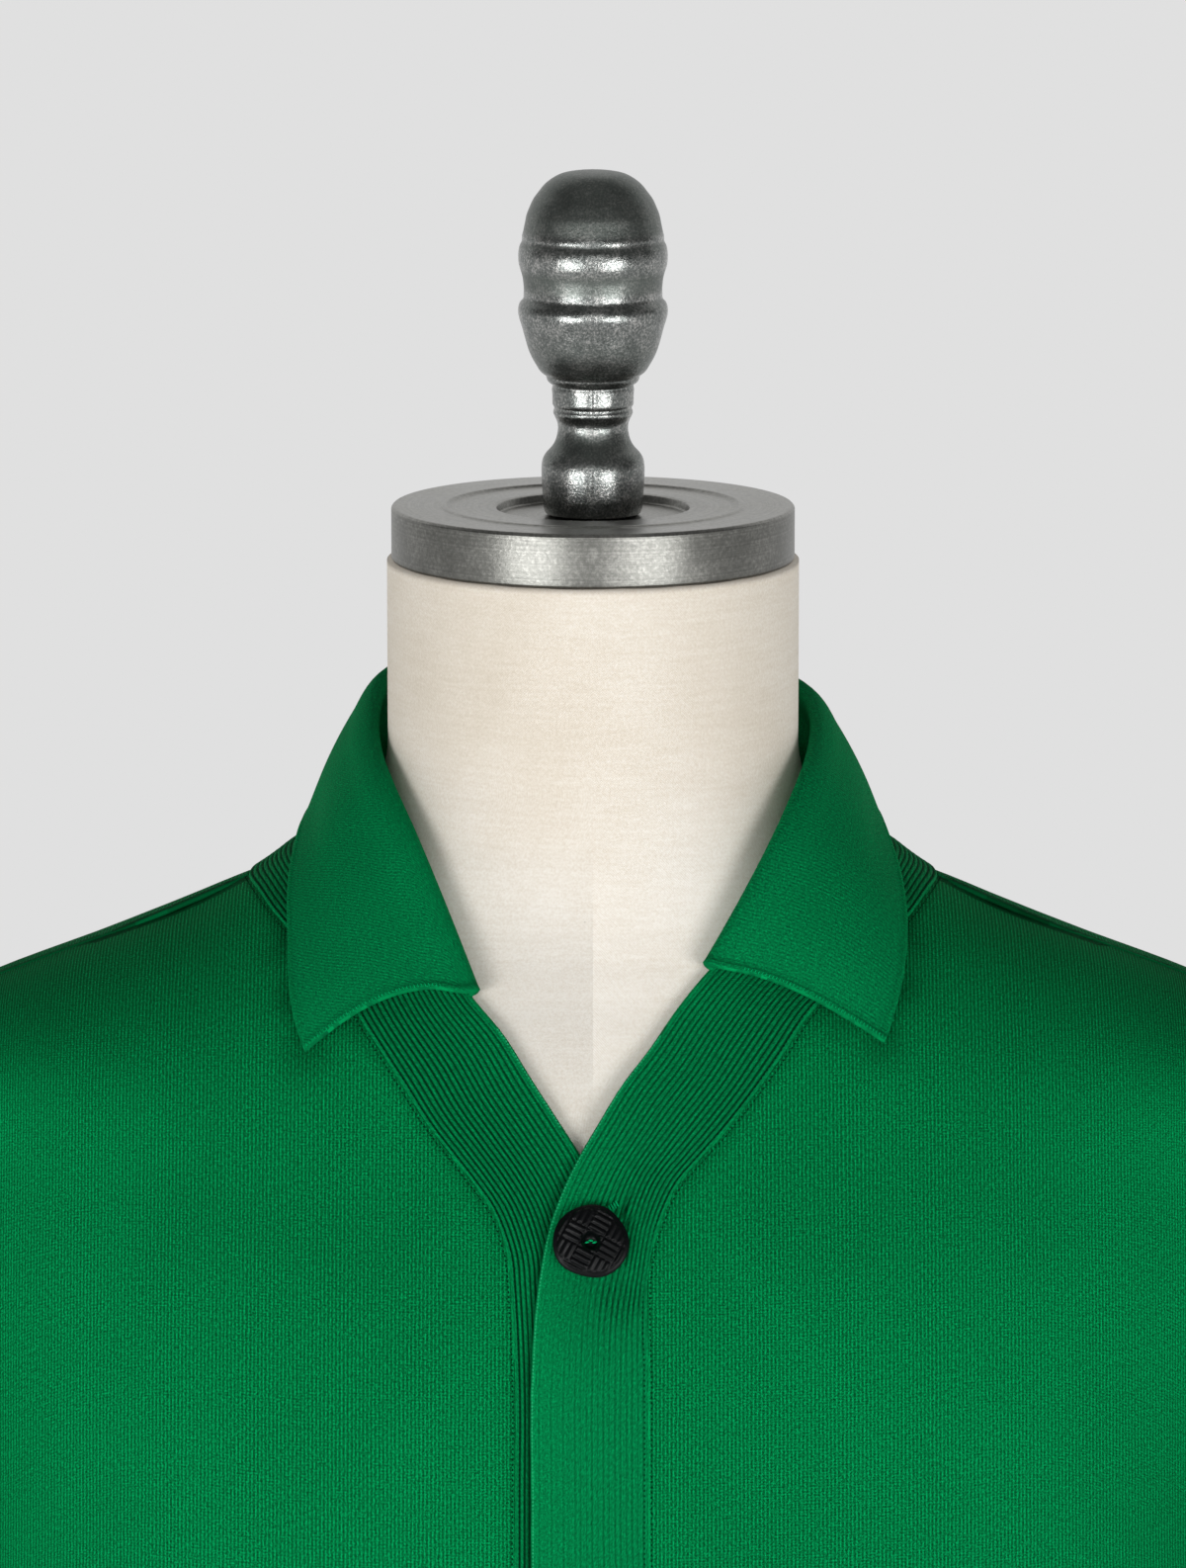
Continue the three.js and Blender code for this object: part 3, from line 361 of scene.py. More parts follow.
def spline(points, places, wanted):
    """A smooth curve through points (first axis) at rising places, read at the wanted places."""
    places = np.asarray(places, float)
    step = np.diff(places)
    shape = (-1,) + (1,) * (points.ndim - 1)
    rise = np.diff(points, axis=0) / step.reshape(shape)
    slope = np.empty_like(points)
    before, after = step[:-1].reshape(shape), step[1:].reshape(shape)
    slope[1:-1] = (rise[:-1] * after + rise[1:] * before) / (before + after)
    slope[0], slope[-1] = 1.5 * rise[0] - 0.5 * slope[1], 1.5 * rise[-1] - 0.5 * slope[-2]
    wanted = np.clip(wanted, places[0], places[-1])
    i = np.clip(np.searchsorted(places, wanted, side="right") - 1, 0, len(step) - 1)
    h = step[i].reshape(shape)
    t = (wanted - places[i]).reshape(shape) / h
    return hermite(t, points[i], h * slope[i], points[i + 1], h * slope[i + 1])


def chord_places(grid):
    """Distances along a grid's rows axis, averaged over its columns."""
    steps = np.linalg.norm(np.diff(grid, axis=0), axis=-1).mean(axis=1)
    return np.concatenate([[0], np.cumsum(np.maximum(steps, 0.01))])


def refined(grid, spacing, columns=None):
    """A grid of points made finer: rows about `spacing` apart, and a number of columns."""
    down = chord_places(grid)
    rows = max(2, round(down[-1] / spacing))
    grid = spline(grid, down, np.linspace(0, down[-1], rows + 1))
    across = chord_places(grid.swapaxes(0, 1))
    columns = columns or max(2, round(across[-1] / spacing))
    return spline(grid.swapaxes(0, 1), across, np.linspace(0, across[-1], columns + 1)).swapaxes(0, 1)


# ==== walls ===============================================================================


def normals_of(grid, closed):
    """Unit normals of a grid of points, from rows running down and columns running round."""
    if closed:
        around = np.roll(grid, -1, axis=1) - np.roll(grid, 1, axis=1)
    else:
        around = np.gradient(grid, axis=1)
    return unit(np.cross(around, np.gradient(grid, axis=0)))


RIM_REACH = 0.42  # how far a rim rounds out past the cloth's edge, as a share of its thickness


def rim_way(grid, normal, line, beside):
    """The way that leads off the cloth at an edge, square to its normal."""
    way = grid[line] - grid[beside]
    return unit(way - normal[line] * (way * normal[line]).sum(-1, keepdims=True))


def facing_out(normal, grid, outward):
    """Normals turned to the outer side, where `outward` is positive."""
    return -normal if (outward(grid, normal) < 0).mean() > 0.5 else normal


def wall(name, grid, uv, thickness, outward, raised=0, painted_shade_and_patina=0, closed=False):
    """A closed wall of cloth with rounded rims, from the grid of its middle in millimetres.
    uv has one more column than a closed grid. raised lifts the outer face, and the mark after it
    paints shade where the knit opens and where other parts shade it. outward tells the outer side, as a
    function of points."""
    rows, cols = grid.shape[:2]
    normal = facing_out(normals_of(grid, closed), grid, outward)
    raised, painted_shade_and_patina = np.zeros((rows, cols)) + raised, np.zeros((rows, cols)) + painted_shade_and_patina
    outer = grid + normal * (thickness / 2 + raised)[..., None]
    inner = grid - normal * thickness / 2
    index = np.arange(rows * cols).reshape(rows, cols)
    if closed:
        loop = np.concatenate([index[0], index[-1]])
        way = np.concatenate([rim_way(grid, normal, *ends) for ends in ((0, 1), (-1, -2))])
        follow = np.roll(np.arange(cols), -1)
        follow = np.concatenate([follow, cols + follow])
    else:
        off = np.zeros_like(grid)
        for end, next_in in ((0, 1), (-1, -2)):
            for line, beside in (np.s_[end, :], np.s_[next_in, :]), (np.s_[:, end], np.s_[:, next_in]):
                off[line] += rim_way(grid, normal, line, beside)
        loop = np.concatenate([index[0, :-1], index[:-1, -1], index[-1, :0:-1], index[:0:-1, 0]])
        way = unit(off).reshape(-1, 3)[loop]
        follow = np.roll(np.arange(len(loop)), -1)
    middle = grid.reshape(-1, 3)[loop] + way * thickness * RIM_REACH
    middle += normal.reshape(-1, 3)[loop] * raised.reshape(-1)[loop][:, None] / 2
    points = np.concatenate([outer.reshape(-1, 3), inner.reshape(-1, 3), middle])
    mark = np.concatenate([painted_shade_and_patina.ravel(), painted_shade_and_patina.ravel(), painted_shade_and_patina.ravel()[loop]])

    last = cols if closed else cols - 1
    i, j = np.meshgrid(np.arange(rows - 1), np.arange(last), indexing="ij")
    k = (j + 1) % cols
    a, b, c, d = index[i, j], index[i + 1, j], index[i + 1, k], index[i, k]
    face = np.stack([a, b, c, d], -1).reshape(-1, 4)
    corner_uv = np.stack([uv[i, j], uv[i + 1, j], uv[i + 1, j + 1], uv[i, j + 1]], -2).reshape(-1, 4, 2)
    count = rows * cols
    step = np.arange(len(loop))
    rim_outer = np.stack([loop, loop[follow], 2 * count + follow, 2 * count + step], -1)
    rim_inner = np.stack([2 * count + step, 2 * count + follow, count + loop[follow], count + loop], -1)
    grid_uv = uv[:, :cols].reshape(-1, 2)
    rim_uv = np.stack([grid_uv[loop]] * 4, 1)
    rim_faces, rim_uvs = np.concatenate([rim_outer, rim_inner]), np.concatenate([rim_uv, rim_uv])
    if closed:
        turned = np.tile(step >= cols, 2)
        rim_faces[turned] = rim_faces[turned][:, ::-1]
    # The rim's faces run against the outer face's own edges.
    faces = np.concatenate([face, face[:, ::-1] + count, rim_faces])
    uvs = np.concatenate([corner_uv, corner_uv[:, ::-1], rim_uvs])
    first = points[face[:, 1]] - points[face[:, 0]]
    second = points[face[:, 3]] - points[face[:, 0]]
    facing = (np.cross(first, second) * normal.reshape(-1, 3)[face[:, 0]]).sum(-1)
    if facing.mean() < 0:
        faces, uvs = faces[:, ::-1], uvs[:, ::-1]
    return mesh_piece(name, points, faces, uvs, mark)


def placed(name, mesh):
    obj = bpy.data.objects.new(name, mesh)
    bpy.context.scene.collection.objects.link(obj)
    return obj


def mesh_piece(name, points, faces, uvs=None, painted_shade_and_patina=None):
    """A smooth object from points in millimetres, with a place on the cloth for each corner."""
    mesh = bpy.data.meshes.new(name)
    mesh.from_pydata((points * MM).tolist(), [], [list(face) for face in faces])
    if uvs is not None:
        layer = mesh.uv_layers.new(name="knit")
        layer.data.foreach_set("uv", (uvs.reshape(-1, 2) * MM).ravel().astype(np.float32))
    if painted_shade_and_patina is not None:
        mark = mesh.attributes.new("painted_shade_and_patina", "FLOAT", "POINT")
        mark.data.foreach_set("value", painted_shade_and_patina.astype(np.float32))
    mesh.polygons.foreach_set("use_smooth", [True] * len(mesh.polygons))
    mesh.update()
    return placed(name, mesh)


def away_from_axis(grid, normal):
    """Tells the outer side of a piece that goes round the body."""
    flat = grid - np.array([0, AXIS_Y, 0])
    flat[..., 2] = 0
    return (flat * normal).sum(-1)


def away_from_middle(grid, normal):
    """Tells the outer side of a tube, whose rings are the rows of the grid."""
    return ((grid - grid.mean(axis=1, keepdims=True)) * normal).sum(-1)


def run_across(grid):
    step = np.linalg.norm(np.diff(grid, axis=1), axis=-1)
    return np.concatenate([np.zeros((len(grid), 1)), np.cumsum(step, axis=1)], axis=1)


def run_down(grid):
    return run_across(grid.swapaxes(0, 1)).T


# ==== bands ===============================================================================


def band_edges(side, neckline, straight):
    """Turn and level of both edges of a band, row by row from the centre back to the hem."""
    neck = [(side * math.radians(a), b, side * math.radians(c), d) for a, b, c, d in NECK_BAND]
    levels = [(straight[0], z, straight[1], z) for z in [*STRAIGHT_Z, HEM_TOP, HEM_MIDDLE, HEM]]
    front = [(turn_at_x(a, b), b, turn_at_x(c, d), d) for a, b, c, d in [*neckline, *levels]]
    return np.array(neck + front, float)


def band_grid(edges, lifted, columns=8):
    share = np.linspace(0, 1, columns + 1)[None, :]
    turn = mix(edges[:, 0:1], edges[:, 2:3], share)
    return on_cloth(turn, mix(edges[:, 1:2], edges[:, 3:4], share), lifted)


left_edges = band_edges(1, LEFT_NECKLINE, LEFT_STRAIGHT)
right_edges = band_edges(-1, RIGHT_NECKLINE, RIGHT_STRAIGHT)
left_band = band_grid(left_edges, True)
right_band = band_grid(right_edges, False)


# ==== panels ==============================================================================


def fallen(turn, start, end):
    def reach(t):
        return 1 - (1 - (t - start) / (90 - start)) ** 2

    return reach(turn) / reach(end)


def front_places(side, edges):
    """Turns and levels of a front, from its band's seam to the armhole and side."""
    share = np.linspace(0, 1, FRONT_COLUMNS + 1)
    turns, levels = [], []
    for i, (z, front, *_) in enumerate(PANEL_ROWS):
        seam_turn, seam_z = edges[SHOULDER_ROW + i, 2:]
        start = side * math.degrees(seam_turn)
        turn = mix(start, front, share)
        fall = 1 - (1 - share) ** 2 if i == 0 else fallen(turn, start, front)
        turns.append(side * np.radians(turn))
        levels.append(mix(seam_z, z, fall))
    return np.array(turns), np.array(levels)


def back_places():
    """Turns and levels of the back, from the left armhole to the right one."""
    turns, levels = [], []
    neck = NECK_BAND[: SHOULDER_ROW + 1]
    inner = np.arange(len(neck)) / SHOULDER_ROW
    outer = np.arange(1, SHOULDER_COLUMNS + 1) / SHOULDER_COLUMNS
    for i, (z, _, back, neck_turn, neck_z, middle_z) in enumerate(PANEL_ROWS):
        if i == 0:
            turn, level = np.array([row[2] for row in neck], float), np.array([row[3] for row in neck])
        else:
            turn, level = mix(180, neck_turn, inner), mix(middle_z, neck_z, inner**2)
        on = mix(neck_turn, back, outer)
        fall = 1 - (1 - outer) ** 2 if i == 0 else fallen(on, neck_turn, back)
        turn, level = np.concatenate([turn, on]), np.concatenate([level, mix(neck_z, z, fall)])
        turns.append(np.radians(np.concatenate([turn[:0:-1], 360 - turn])))
        levels.append(np.concatenate([level[:0:-1], level]))
    return np.array(turns), np.array(levels)


left_turns, left_levels = front_places(1, left_edges)
right_turns, right_levels = front_places(-1, right_edges)
back_turns, back_levels = back_places()
left_front = on_cloth(left_turns, left_levels, True)
right_front = on_cloth(right_turns, right_levels)
back_panel = on_cloth(back_turns, back_levels)


def wale_uv(grid):
    """Upright rows of stitches: across by how far round the body, down by the fall of the cloth."""
    x, y = grid[..., 0], grid[..., 1] - 6
    side, _, front, back, _ = cloth_section(CHEST_Z)
    below = smooth(540 - grid[..., 2], 0, 90)
    turn = np.arctan2(x / side, -y / np.where(y < 0, front, back))
    table = np.linspace(0, math.pi, 361)
    ring = cloth_point(table, CHEST_Z)
    length = np.concatenate([[0], np.cumsum(np.linalg.norm(np.diff(ring, axis=0), axis=-1))])
    by_turn = np.interp(np.abs(turn), table, length)
    front_half, back_half = table <= math.pi / 2, table >= math.pi / 2
    ahead = np.interp(np.abs(x), ring[front_half, 0], length[front_half])
    behind = np.interp(np.abs(x), ring[back_half, 0][::-1], length[back_half][::-1])
    over = np.maximum(np.abs(x) - ring[front_half, 0].max(), 0)
    by_x = np.where(y < 0, ahead + over, behind - over)
    u = np.sign(x) * mix(by_x, by_turn, below)
    step = np.linalg.norm(np.diff(grid[..., 1:], axis=0), axis=-1)
    v = np.concatenate([np.zeros((1, grid.shape[1])), np.cumsum(step, axis=0)], axis=0)
    return np.stack([u, v[-1:] - v], -1)


def unrolled(uv):
    """Carries u on where it would jump from one side of the centre back to the other."""
    ring = cloth_point(np.linspace(0, 2 * math.pi, 721), CHEST_Z)
    whole = np.linalg.norm(np.diff(ring, axis=0), axis=-1).sum()
    u = np.where(uv[..., 0] < 0, uv[..., 0] + whole, uv[..., 0])
    return np.stack([u, uv[..., 1]], -1)


# ==== sleeves =============================================================================


def sleeve_folds(turn, z):
    total = np.zeros_like(turn)
    for level, at, slant, width, depth in SLEEVE_FOLDS:
        away = np.arctan2(np.sin(turn - math.radians(at)), np.cos(turn - math.radians(at)))
        total -= depth * np.exp(-(((z - level - slant * away) / width) ** 2) - (away / 1.1) ** 2)
    return total


def oval_ring(oval, turn, side, folded):
    z, x, y, across, along = oval
    normal = unit(np.stack([side * np.cos(turn) / across, -np.sin(turn) / along, 0 * turn], -1))
    point = np.stack([side * (x + across * np.cos(turn)), y - along * np.sin(turn), z + 0 * turn], -1)
    return point + normal * sleeve_folds(turn, z)[:, None] if folded else point


def sleeve_rings(side):
    """Rings of a sleeve from its armhole to the cuff."""
    turns, levels = (left_turns, left_levels) if side > 0 else (right_turns, right_levels)
    column = 0 if side > 0 else -1
    down = [(turns[i, -1], levels[i, -1]) for i in range(UNDERARM_ROW + 1)]
    up = [(back_turns[i, column], back_levels[i, column]) for i in range(UNDERARM_ROW - 1, 0, -1)]
    loop = np.array(down + up)
    point, normal = cloth_point(loop[:, 0], loop[:, 1]), cloth_normal(loop[:, 0], loop[:, 1])
    turn = 2 * math.pi * np.arange(len(loop)) / len(loop)
    ends = oval_ring(SLEEVE[0], turn, side, True)
    way = unit(np.stack([0 * turn + side * 0.95, -0.3 * np.sin(turn), -0.15 - 0.6 * np.cos(turn)], -1))
    clear = 1.5 * SEAM_GAP + JERSEY / 2 * np.maximum((normal * way).sum(-1), 0)
    starts = point + way * clear[:, None]
    length = np.linalg.norm(ends - starts, axis=-1)[:, None] + 6
    fall = np.array([0, 0, -1]) * length
    rings = [hermite(i / CAP_RINGS, starts, way * length, ends, fall) for i in range(CAP_RINGS)]
    return np.array(rings + [oval_ring(oval, turn, side, True) for oval in SLEEVE])


def refined_round(rings, spacing, columns):
    """A closed grid made finer, with evenly many columns round."""
    count = rings.shape[1]
    down = chord_places(rings)
    grid = spline(rings, down, np.linspace(0, down[-1], max(2, round(down[-1] / spacing)) + 1))
    wrapped = np.concatenate([grid[:, -3:], grid, grid[:, :4]], axis=1).swapaxes(0, 1)
    wanted = 3 + np.arange(columns) * count / columns
    return spline(wrapped, np.arange(count + 7), wanted).swapaxes(0, 1)


def round_uv(grid, circumference):
    rows, cols = grid.shape[:2]
    u = np.broadcast_to(np.linspace(0, circumference, cols + 1), (rows, cols + 1))
    fall = run_down(grid)
    v = fall[-1:] - fall
    return np.stack([u, np.concatenate([v, v[:, :1]], axis=1)], -1)


# ==== collar ==============================================================================


def collar_section(seat, inward, normal, row):
    """The middle of the collar at one place: up the stand, over the fold, and down the fall."""
    fold, edge, bow = np.array(row[:3], float), np.array(row[3:6], float), row[6]
    down = unit(edge - fold)
    away = unit(normal - down * normal.dot(down))
    middle = fold + down * FOLD_RADIUS
    stand_top, fall_top = middle - away * FOLD_RADIUS, middle + away * FOLD_RADIUS
    reach = np.linalg.norm(seat - stand_top)
    stand = np.arange(STAND_STEPS) / STAND_STEPS
    points = [hermite(t, seat, inward * reach, stand_top, -down * reach) for t in stand]
    for bend in np.radians([-90, -35, 35]):
        points.append(middle + away * FOLD_RADIUS * math.sin(bend) - down * FOLD_RADIUS * math.cos(bend))
    control = (fall_top + edge) / 2 + away * FALL_BULGE + np.array([0, 0, bow])
    for t in np.arange(FALL_STEPS + 1) / FALL_STEPS:
        point = fall_top * (1 - t) ** 2 + control * 2 * t * (1 - t) + edge * t**2
        points.append(point if t == 0 else pushed_clear(point, FALL_CLEARANCE))
    return np.array(points)


def collar_rows():
    """Sections of the collar from its left front end, round the neck, to its right one."""
    end = len(NECK_BAND)
    sections = []
    for grid, edges, table, order in (
        (left_band, left_edges, LEFT_COLLAR, range(end, -1, -1)),
        (right_band, right_edges, RIGHT_COLLAR, range(1, end + 1)),
    ):
        for row in order:
            inward = unit(grid[row, 0] - grid[row, 1])
            normal = cloth_normal(edges[row, 0], edges[row, 1])
            sections.append(collar_section(grid[row, 0] + inward * SEAM_GAP, inward, normal, table[row]))
    return np.array(sections)


# ==== materials ===========================================================================


def linear(hex_value):
    """An sRGB hex colour as the linear numbers that a shader takes."""
    parts = [int(hex_value[i : i + 2], 16) / 255 for i in (1, 3, 5)]
    return tuple(c / 12.92 if c <= 0.04045 else ((c + 0.055) / 1.055) ** 2.4 for c in parts) + (1,)


def fill(node, inputs):
    """Sets a node's inputs, by name or by place, and links those whose value is a socket."""
    for name, value in inputs.items():
        socket = node.inputs[name.replace("_", " ") if isinstance(name, str) else name]
        if isinstance(value, bpy.types.NodeSocket):
            node.id_data.links.new(value, socket)
        else:
            socket.default_value = value


def adder(tree, prefix=""):
    """The function that adds a node to a tree and gives one of its outputs. The node's inputs
    are the values in order, those of `at` by place, and the names that start with a capital.
    Other names are its settings, and stops are a ramp's places and colours."""

    def add(kind, *values, out=0, at=None, stops=(), **named):
        node = tree.nodes.new(prefix + kind)
        for name in [name for name in named if name[0].islower()]:
            setattr(node, name, named.pop(name))
        for _ in stops[2:]:
            node.color_ramp.elements.new(0.5)
        for element, (place, colour) in zip(node.color_ramp.elements if stops else (), stops):
            element.position, element.color = place, linear(colour)
        fill(node, {**dict(enumerate(values)), **(at or {}), **named})
        return node.outputs[out] if node.outputs else None

    return add


def weighted(add, start, *terms):
    """A start, to which each signal is added times its weight."""
    for signal, weight in terms:
        start = add("Math", signal, weight, start, operation="MULTIPLY_ADD")
    return start


def material(name):
    """A new material, and the function that adds nodes to it."""
    made = bpy.data.materials.new(name)
    made.use_nodes = True
    return made, adder(made.node_tree, "ShaderNode")


def shaded(made, **principled):
    fill(made.node_tree.nodes["Principled BSDF"], principled)
    return made


def knitted_wool(name, base, light, dark, painted_shade_colour, wale_shade_strength, grain_strength, bump):
    """Fine merino jersey, machine knitted: matt, soft edged, its upright rows of stitches just
    showing as hairlines, with painted shade in the hollow of every stitch. A mark on the mesh
    paints shade where the rib opens and where other parts shade the cloth."""
    made, add = material(name)
    knit = add("UVMap", uv_map="knit")
    # Rows that wander, short streaks along them, soft clouds over the panel, and single fibres.
    wander, streak, cloud, grain = (
        add("TexNoise", Vector=add("Mapping", Vector=knit, Scale=stretch), Scale=1, Detail=detail)
        for stretch, detail in (
            ((160, 24, 1), 2), ((1900, 700, 1), 2), ((14, 9, 1), 3), ((1900, 1900, 1), 2)
        )
    )
    # One V of a stitch to each wale and course: crests run down the middle of each wale.
    part = add("SeparateXYZ", knit).node.outputs
    across = weighted(add, 0, (part["X"], 2 * math.pi / (WALE * MM)), (wander, 2.2))
    wale = add("Math", across, operation="SINE")
    slant = add("Math", wale, operation="ABSOLUTE")
    along = weighted(add, 0, (part["Y"], 2 * math.pi / (COURSE * MM)), (slant, 2.5))
    stitch = add("Math", along, operation="SINE")
    relief = weighted(add, wale, (stitch, 0.35))
    # Painted shade: the cloth is darkened where it faces up, over the shoulders, as the low lamps in front
    # light it less there.
    facing = add("SeparateXYZ", add("TexCoord", out="Normal"), out="Z")
    painted_shade_on_tops = add("MapRange", Value=facing, From_Min=0.15, From_Max=0.9)
    # The stitches' relief goes into the colour too, as painted shade in their hollows.
    tone = weighted(
        add, -0.07 - grain_strength / 2,
        (relief, wale_shade_strength), (streak, 0.9), (grain, grain_strength), (cloud, 0.24), (painted_shade_on_tops, -0.2),
    )
    colour = add("ValToRGB", tone, stops=((0, dark), (0.5, base), (1, light)))
    # Painted shade marked on the mesh pulls the colour towards the shade colour.
    opened = add("Attribute", out="Fac", attribute_name="painted_shade_and_patina")
    colour = add("Mix", at={0: opened, 6: colour, 7: linear(painted_shade_colour)}, out=2, data_type="RGBA")
    height = weighted(add, relief, (grain, 1.4))
    return shaded(
        made, Base_Color=colour, Roughness=0.9, Specular_IOR_Level=0.03, Sheen_Weight=0.07,
        Sheen_Roughness=0.55, Sheen_Tint=linear("#00B070"),
        Normal=add("Bump", Height=height, Strength=1, Distance=bump * MM),
    )


def form_canvas():
    """Unbleached cotton canvas glued over the form: plain weave, matt, with a few dark seed flecks,
    slubs and faint soiling. Painted light makes it lighter low on the neck, below about 0.74 m."""
    made, add = material("unbleached_cotton_canvas")
    part = add("SeparateXYZ", add("UVMap", uv_map="knit")).node.outputs
    thread = 2 * math.pi / (0.75 * MM)  # threads of 0.4 mm drawn coarser, so that they show
    warp, weft = (
        add("Math", weighted(add, 0, (part[axis], thread)), operation="SINE") for axis in "XY"
    )
    weave = add("Math", warp, weft, operation="MULTIPLY")
    place = add("TexCoord", out="Object")
    slub, soil = (
        add("TexNoise", Vector=add("Mapping", Vector=place, Scale=stretch), Scale=1, Detail=detail)
        for stretch, detail in (((60, 60, 900), 2), ((22, 22, 16), 4))
    )
    grain = add("TexNoise", Vector=place, Scale=1400, Detail=2)
    level = add("SeparateXYZ", place, out="Z")
    # Painted light: the canvas is made lighter below about 0.74 m, low on the neck.
    painted_light_low = add("MapRange", Value=level, From_Min=0.765, From_Max=0.715)
    tone = weighted(
        add, -0.37, (slub, 0.35), (soil, 0.6), (weave, 0.1), (grain, 0.8), (painted_light_low, 0.35)
    )
    colour = add("ValToRGB", tone, stops=((0, "#CDC2B0"), (0.45, "#DFD5C6"), (1, "#F3EEE5")))
    seed = add("TexVoronoi", Vector=place, Scale=95, Randomness=1)
    fleck = add("ValToRGB", seed, stops=((0, "#FFFFFF"), (0.035, "#000000")))
    some = add("Math", add("SeparateColor", seed.node.outputs["Color"]), 0.55, operation="GREATER_THAN")
    marked = weighted(add, 0, (add("Math", fleck, some, operation="MULTIPLY"), 0.5))
    colour = add("Mix", at={0: marked, 6: colour, 7: linear("#8F8470")}, out=2, data_type="RGBA")
    height = weighted(add, weave, (slub, 1.5))
    return shaded(
        made, Base_Color=colour, Roughness=0.9, Specular_IOR_Level=0.2,
        Normal=add("Bump", Height=height, Strength=0.5, Distance=0.05 * MM),
    )


def turned_aluminium():
    """Lathe-turned aluminium, satin: fine rings round the plate that stretch its highlights."""
    made, add = material("turned_aluminium")
    place = add("TexCoord", out="Object")
    scuffs = add("TexNoise", Vector=place, Scale=90, Detail=5)
    pits = add("TexNoise", Vector=place, Scale=900, Detail=3, Roughness=0.7)
    centred = add("Mapping", Vector=place, Location=(0, -AXIS_Y * MM, 0))
    part = add("SeparateXYZ", centred).node.outputs
    flat = add("CombineXYZ", part["X"], part["Y"])
    radius = add("VectorMath", flat, out="Value", operation="LENGTH")
    ring_place = add("CombineXYZ", X=radius, Z=part["Z"])
    fine = add("Mapping", Vector=ring_place, Scale=(2600, 1, 1800))
    rings = add("TexNoise", Vector=fine, Scale=1, Detail=3)
    facing = add("SeparateXYZ", add("TexCoord", out="Normal"), out="Z")
    # Painted light: the colour is made lighter where the surface faces up, on the plate's top.
    tone = weighted(add, -0.25, (rings, 0.4), (scuffs, 0.4), (pits, 0.7), (facing, 0.32))
    height = weighted(add, rings, (pits, 1.5))
    return shaded(
        made, Metallic=1, Anisotropic=0.3, Roughness=weighted(add, 0.24, (scuffs, 0.2)),
        Base_Color=add("ValToRGB", tone, stops=((0, "#42423F"), (0.5, "#6E6E6A"), (1, "#ABAAA5"))),
        Normal=add("Bump", Height=height, Strength=0.4, Distance=0.06 * MM),
    )


def cast_zinc():
    """A die-cast knob, finely speckled, its ridges rubbed bright; patina darkens its hollows and dome, and
    painted shade its waists.
    """
    made, add = material("die_cast_zinc")
    place = add("TexCoord", out="Object")
    grain = add("TexNoise", Vector=place, Scale=1500, Detail=3, Roughness=0.7)
    patch = add("TexNoise", Vector=place, Scale=160, Detail=5, Roughness=0.6)
    patina_and_shade = add("Attribute", out="Fac", attribute_name="painted_shade_and_patina")
    tone = weighted(add, -0.7, (grain, 1.6), (patch, 0.8))
    colour = add("ValToRGB", tone, stops=((0, "#343938"), (0.5, "#7C7F7D"), (1, "#DEDBD8")))
    height = weighted(add, grain, (patch, 2))
    return shaded(
        made, Metallic=1, Roughness=weighted(add, 0.12, (patch, 0.2), (patina_and_shade, 0.25)),
        Base_Color=add(
            "Mix", at={0: patina_and_shade, 6: colour, 7: linear("#5E645F")}, out=2, data_type="RGBA"
        ),
        Normal=add("Bump", Height=height, Strength=0.5, Distance=0.15 * MM),
    )


def black_button_resin():
    """Moulded black resin: low sheen, its woven relief catching dull lights."""
    made, add = material("moulded_black_resin")
    grain = add("TexNoise", Vector=add("TexCoord", out="Object"), Scale=1400, Detail=3)
    return shaded(
        made, Roughness=0.36, Specular_IOR_Level=0.15,
        Base_Color=add("ValToRGB", grain, stops=((0.3, "#020304"), (0.7, "#07090B"))),
        Normal=add("Bump", Height=grain, Strength=0.25, Distance=0.1 * MM),
    )


def sewing_yarn(name, first, second):
    """Plied wool yarn: matt, with a fine twist that darkens between the plies."""
    made, add = material(name)
    ply = add("TexNoise", Vector=add("TexCoord", out="Object"), Scale=2200, Detail=2)
    colour = add("ValToRGB", ply, stops=((0.3, first), (0.7, second)))
    return shaded(made, Base_Color=colour, Roughness=0.85, Specular_IOR_Level=0.03)


# base, light and dark colour, the colour of painted shade, then strength of the painted shade in the wales
# and of the grain, and bump in mm
jersey_knit = knitted_wool("merino_jersey", "#01763F", "#01AB60", "#014A24", "#00240E", 0.26, 2.2, 0.14)
band_knit = knitted_wool("merino_rib", "#017F46", "#01AC62", "#01502A", "#001B0C", 0.06, 1.2, 0.06)
collar_knit = knitted_wool(
    "merino_collar_knit", "#017641", "#01A05A", "#014E2D", "#00240E", 0.03, 1.6, 0.05
)
link_yarn = sewing_yarn("linking_yarn", "#00210F", "#003B1F")
edge_yarn = sewing_yarn("edge_yarn", "#018249", "#04B06A")
seam_yarn = sewing_yarn("seam_yarn", "#015C2E", "#017A42")
shoulder_yarn = sewing_yarn("shoulder_yarn", "#01582E", "#016B39")
# Painted light: the bands' bound lips are coloured lighter than the band, as if they caught the light.
lip_yarn_painted_light = sewing_yarn("lip_yarn_painted_light", "#0A9657", "#2DB87C")
button_resin = black_button_resin()


def finished(obj, finish, slot, *nodes):
    """Gives a piece its finish, lets it ride with the part and stand for its CAD nodes."""
    obj.data.materials.clear()
    obj.data.materials.append(finish)
    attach(obj, "root")
    if nodes:
        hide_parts(*nodes)
    return obj


# ==== the fronts, back and sleeves ========================================================

collar_line = collar_rows()
FOLD = collar_line.shape[1] // 2
collar_outline = np.concatenate([collar_line[:, -1], collar_line[0, FOLD:], collar_line[-1, FOLD:]])


def painted_shadow_by_collar(grid):
    """Painted shadow: how much the cloth is darkened close to the collar's hanging edge, which shades it."""
    away = [np.linalg.norm(row[:, None] - collar_outline[None], axis=-1).min(-1) for row in grid]
    return 0.5 * np.exp(-((np.array(away) / 7) ** 2))


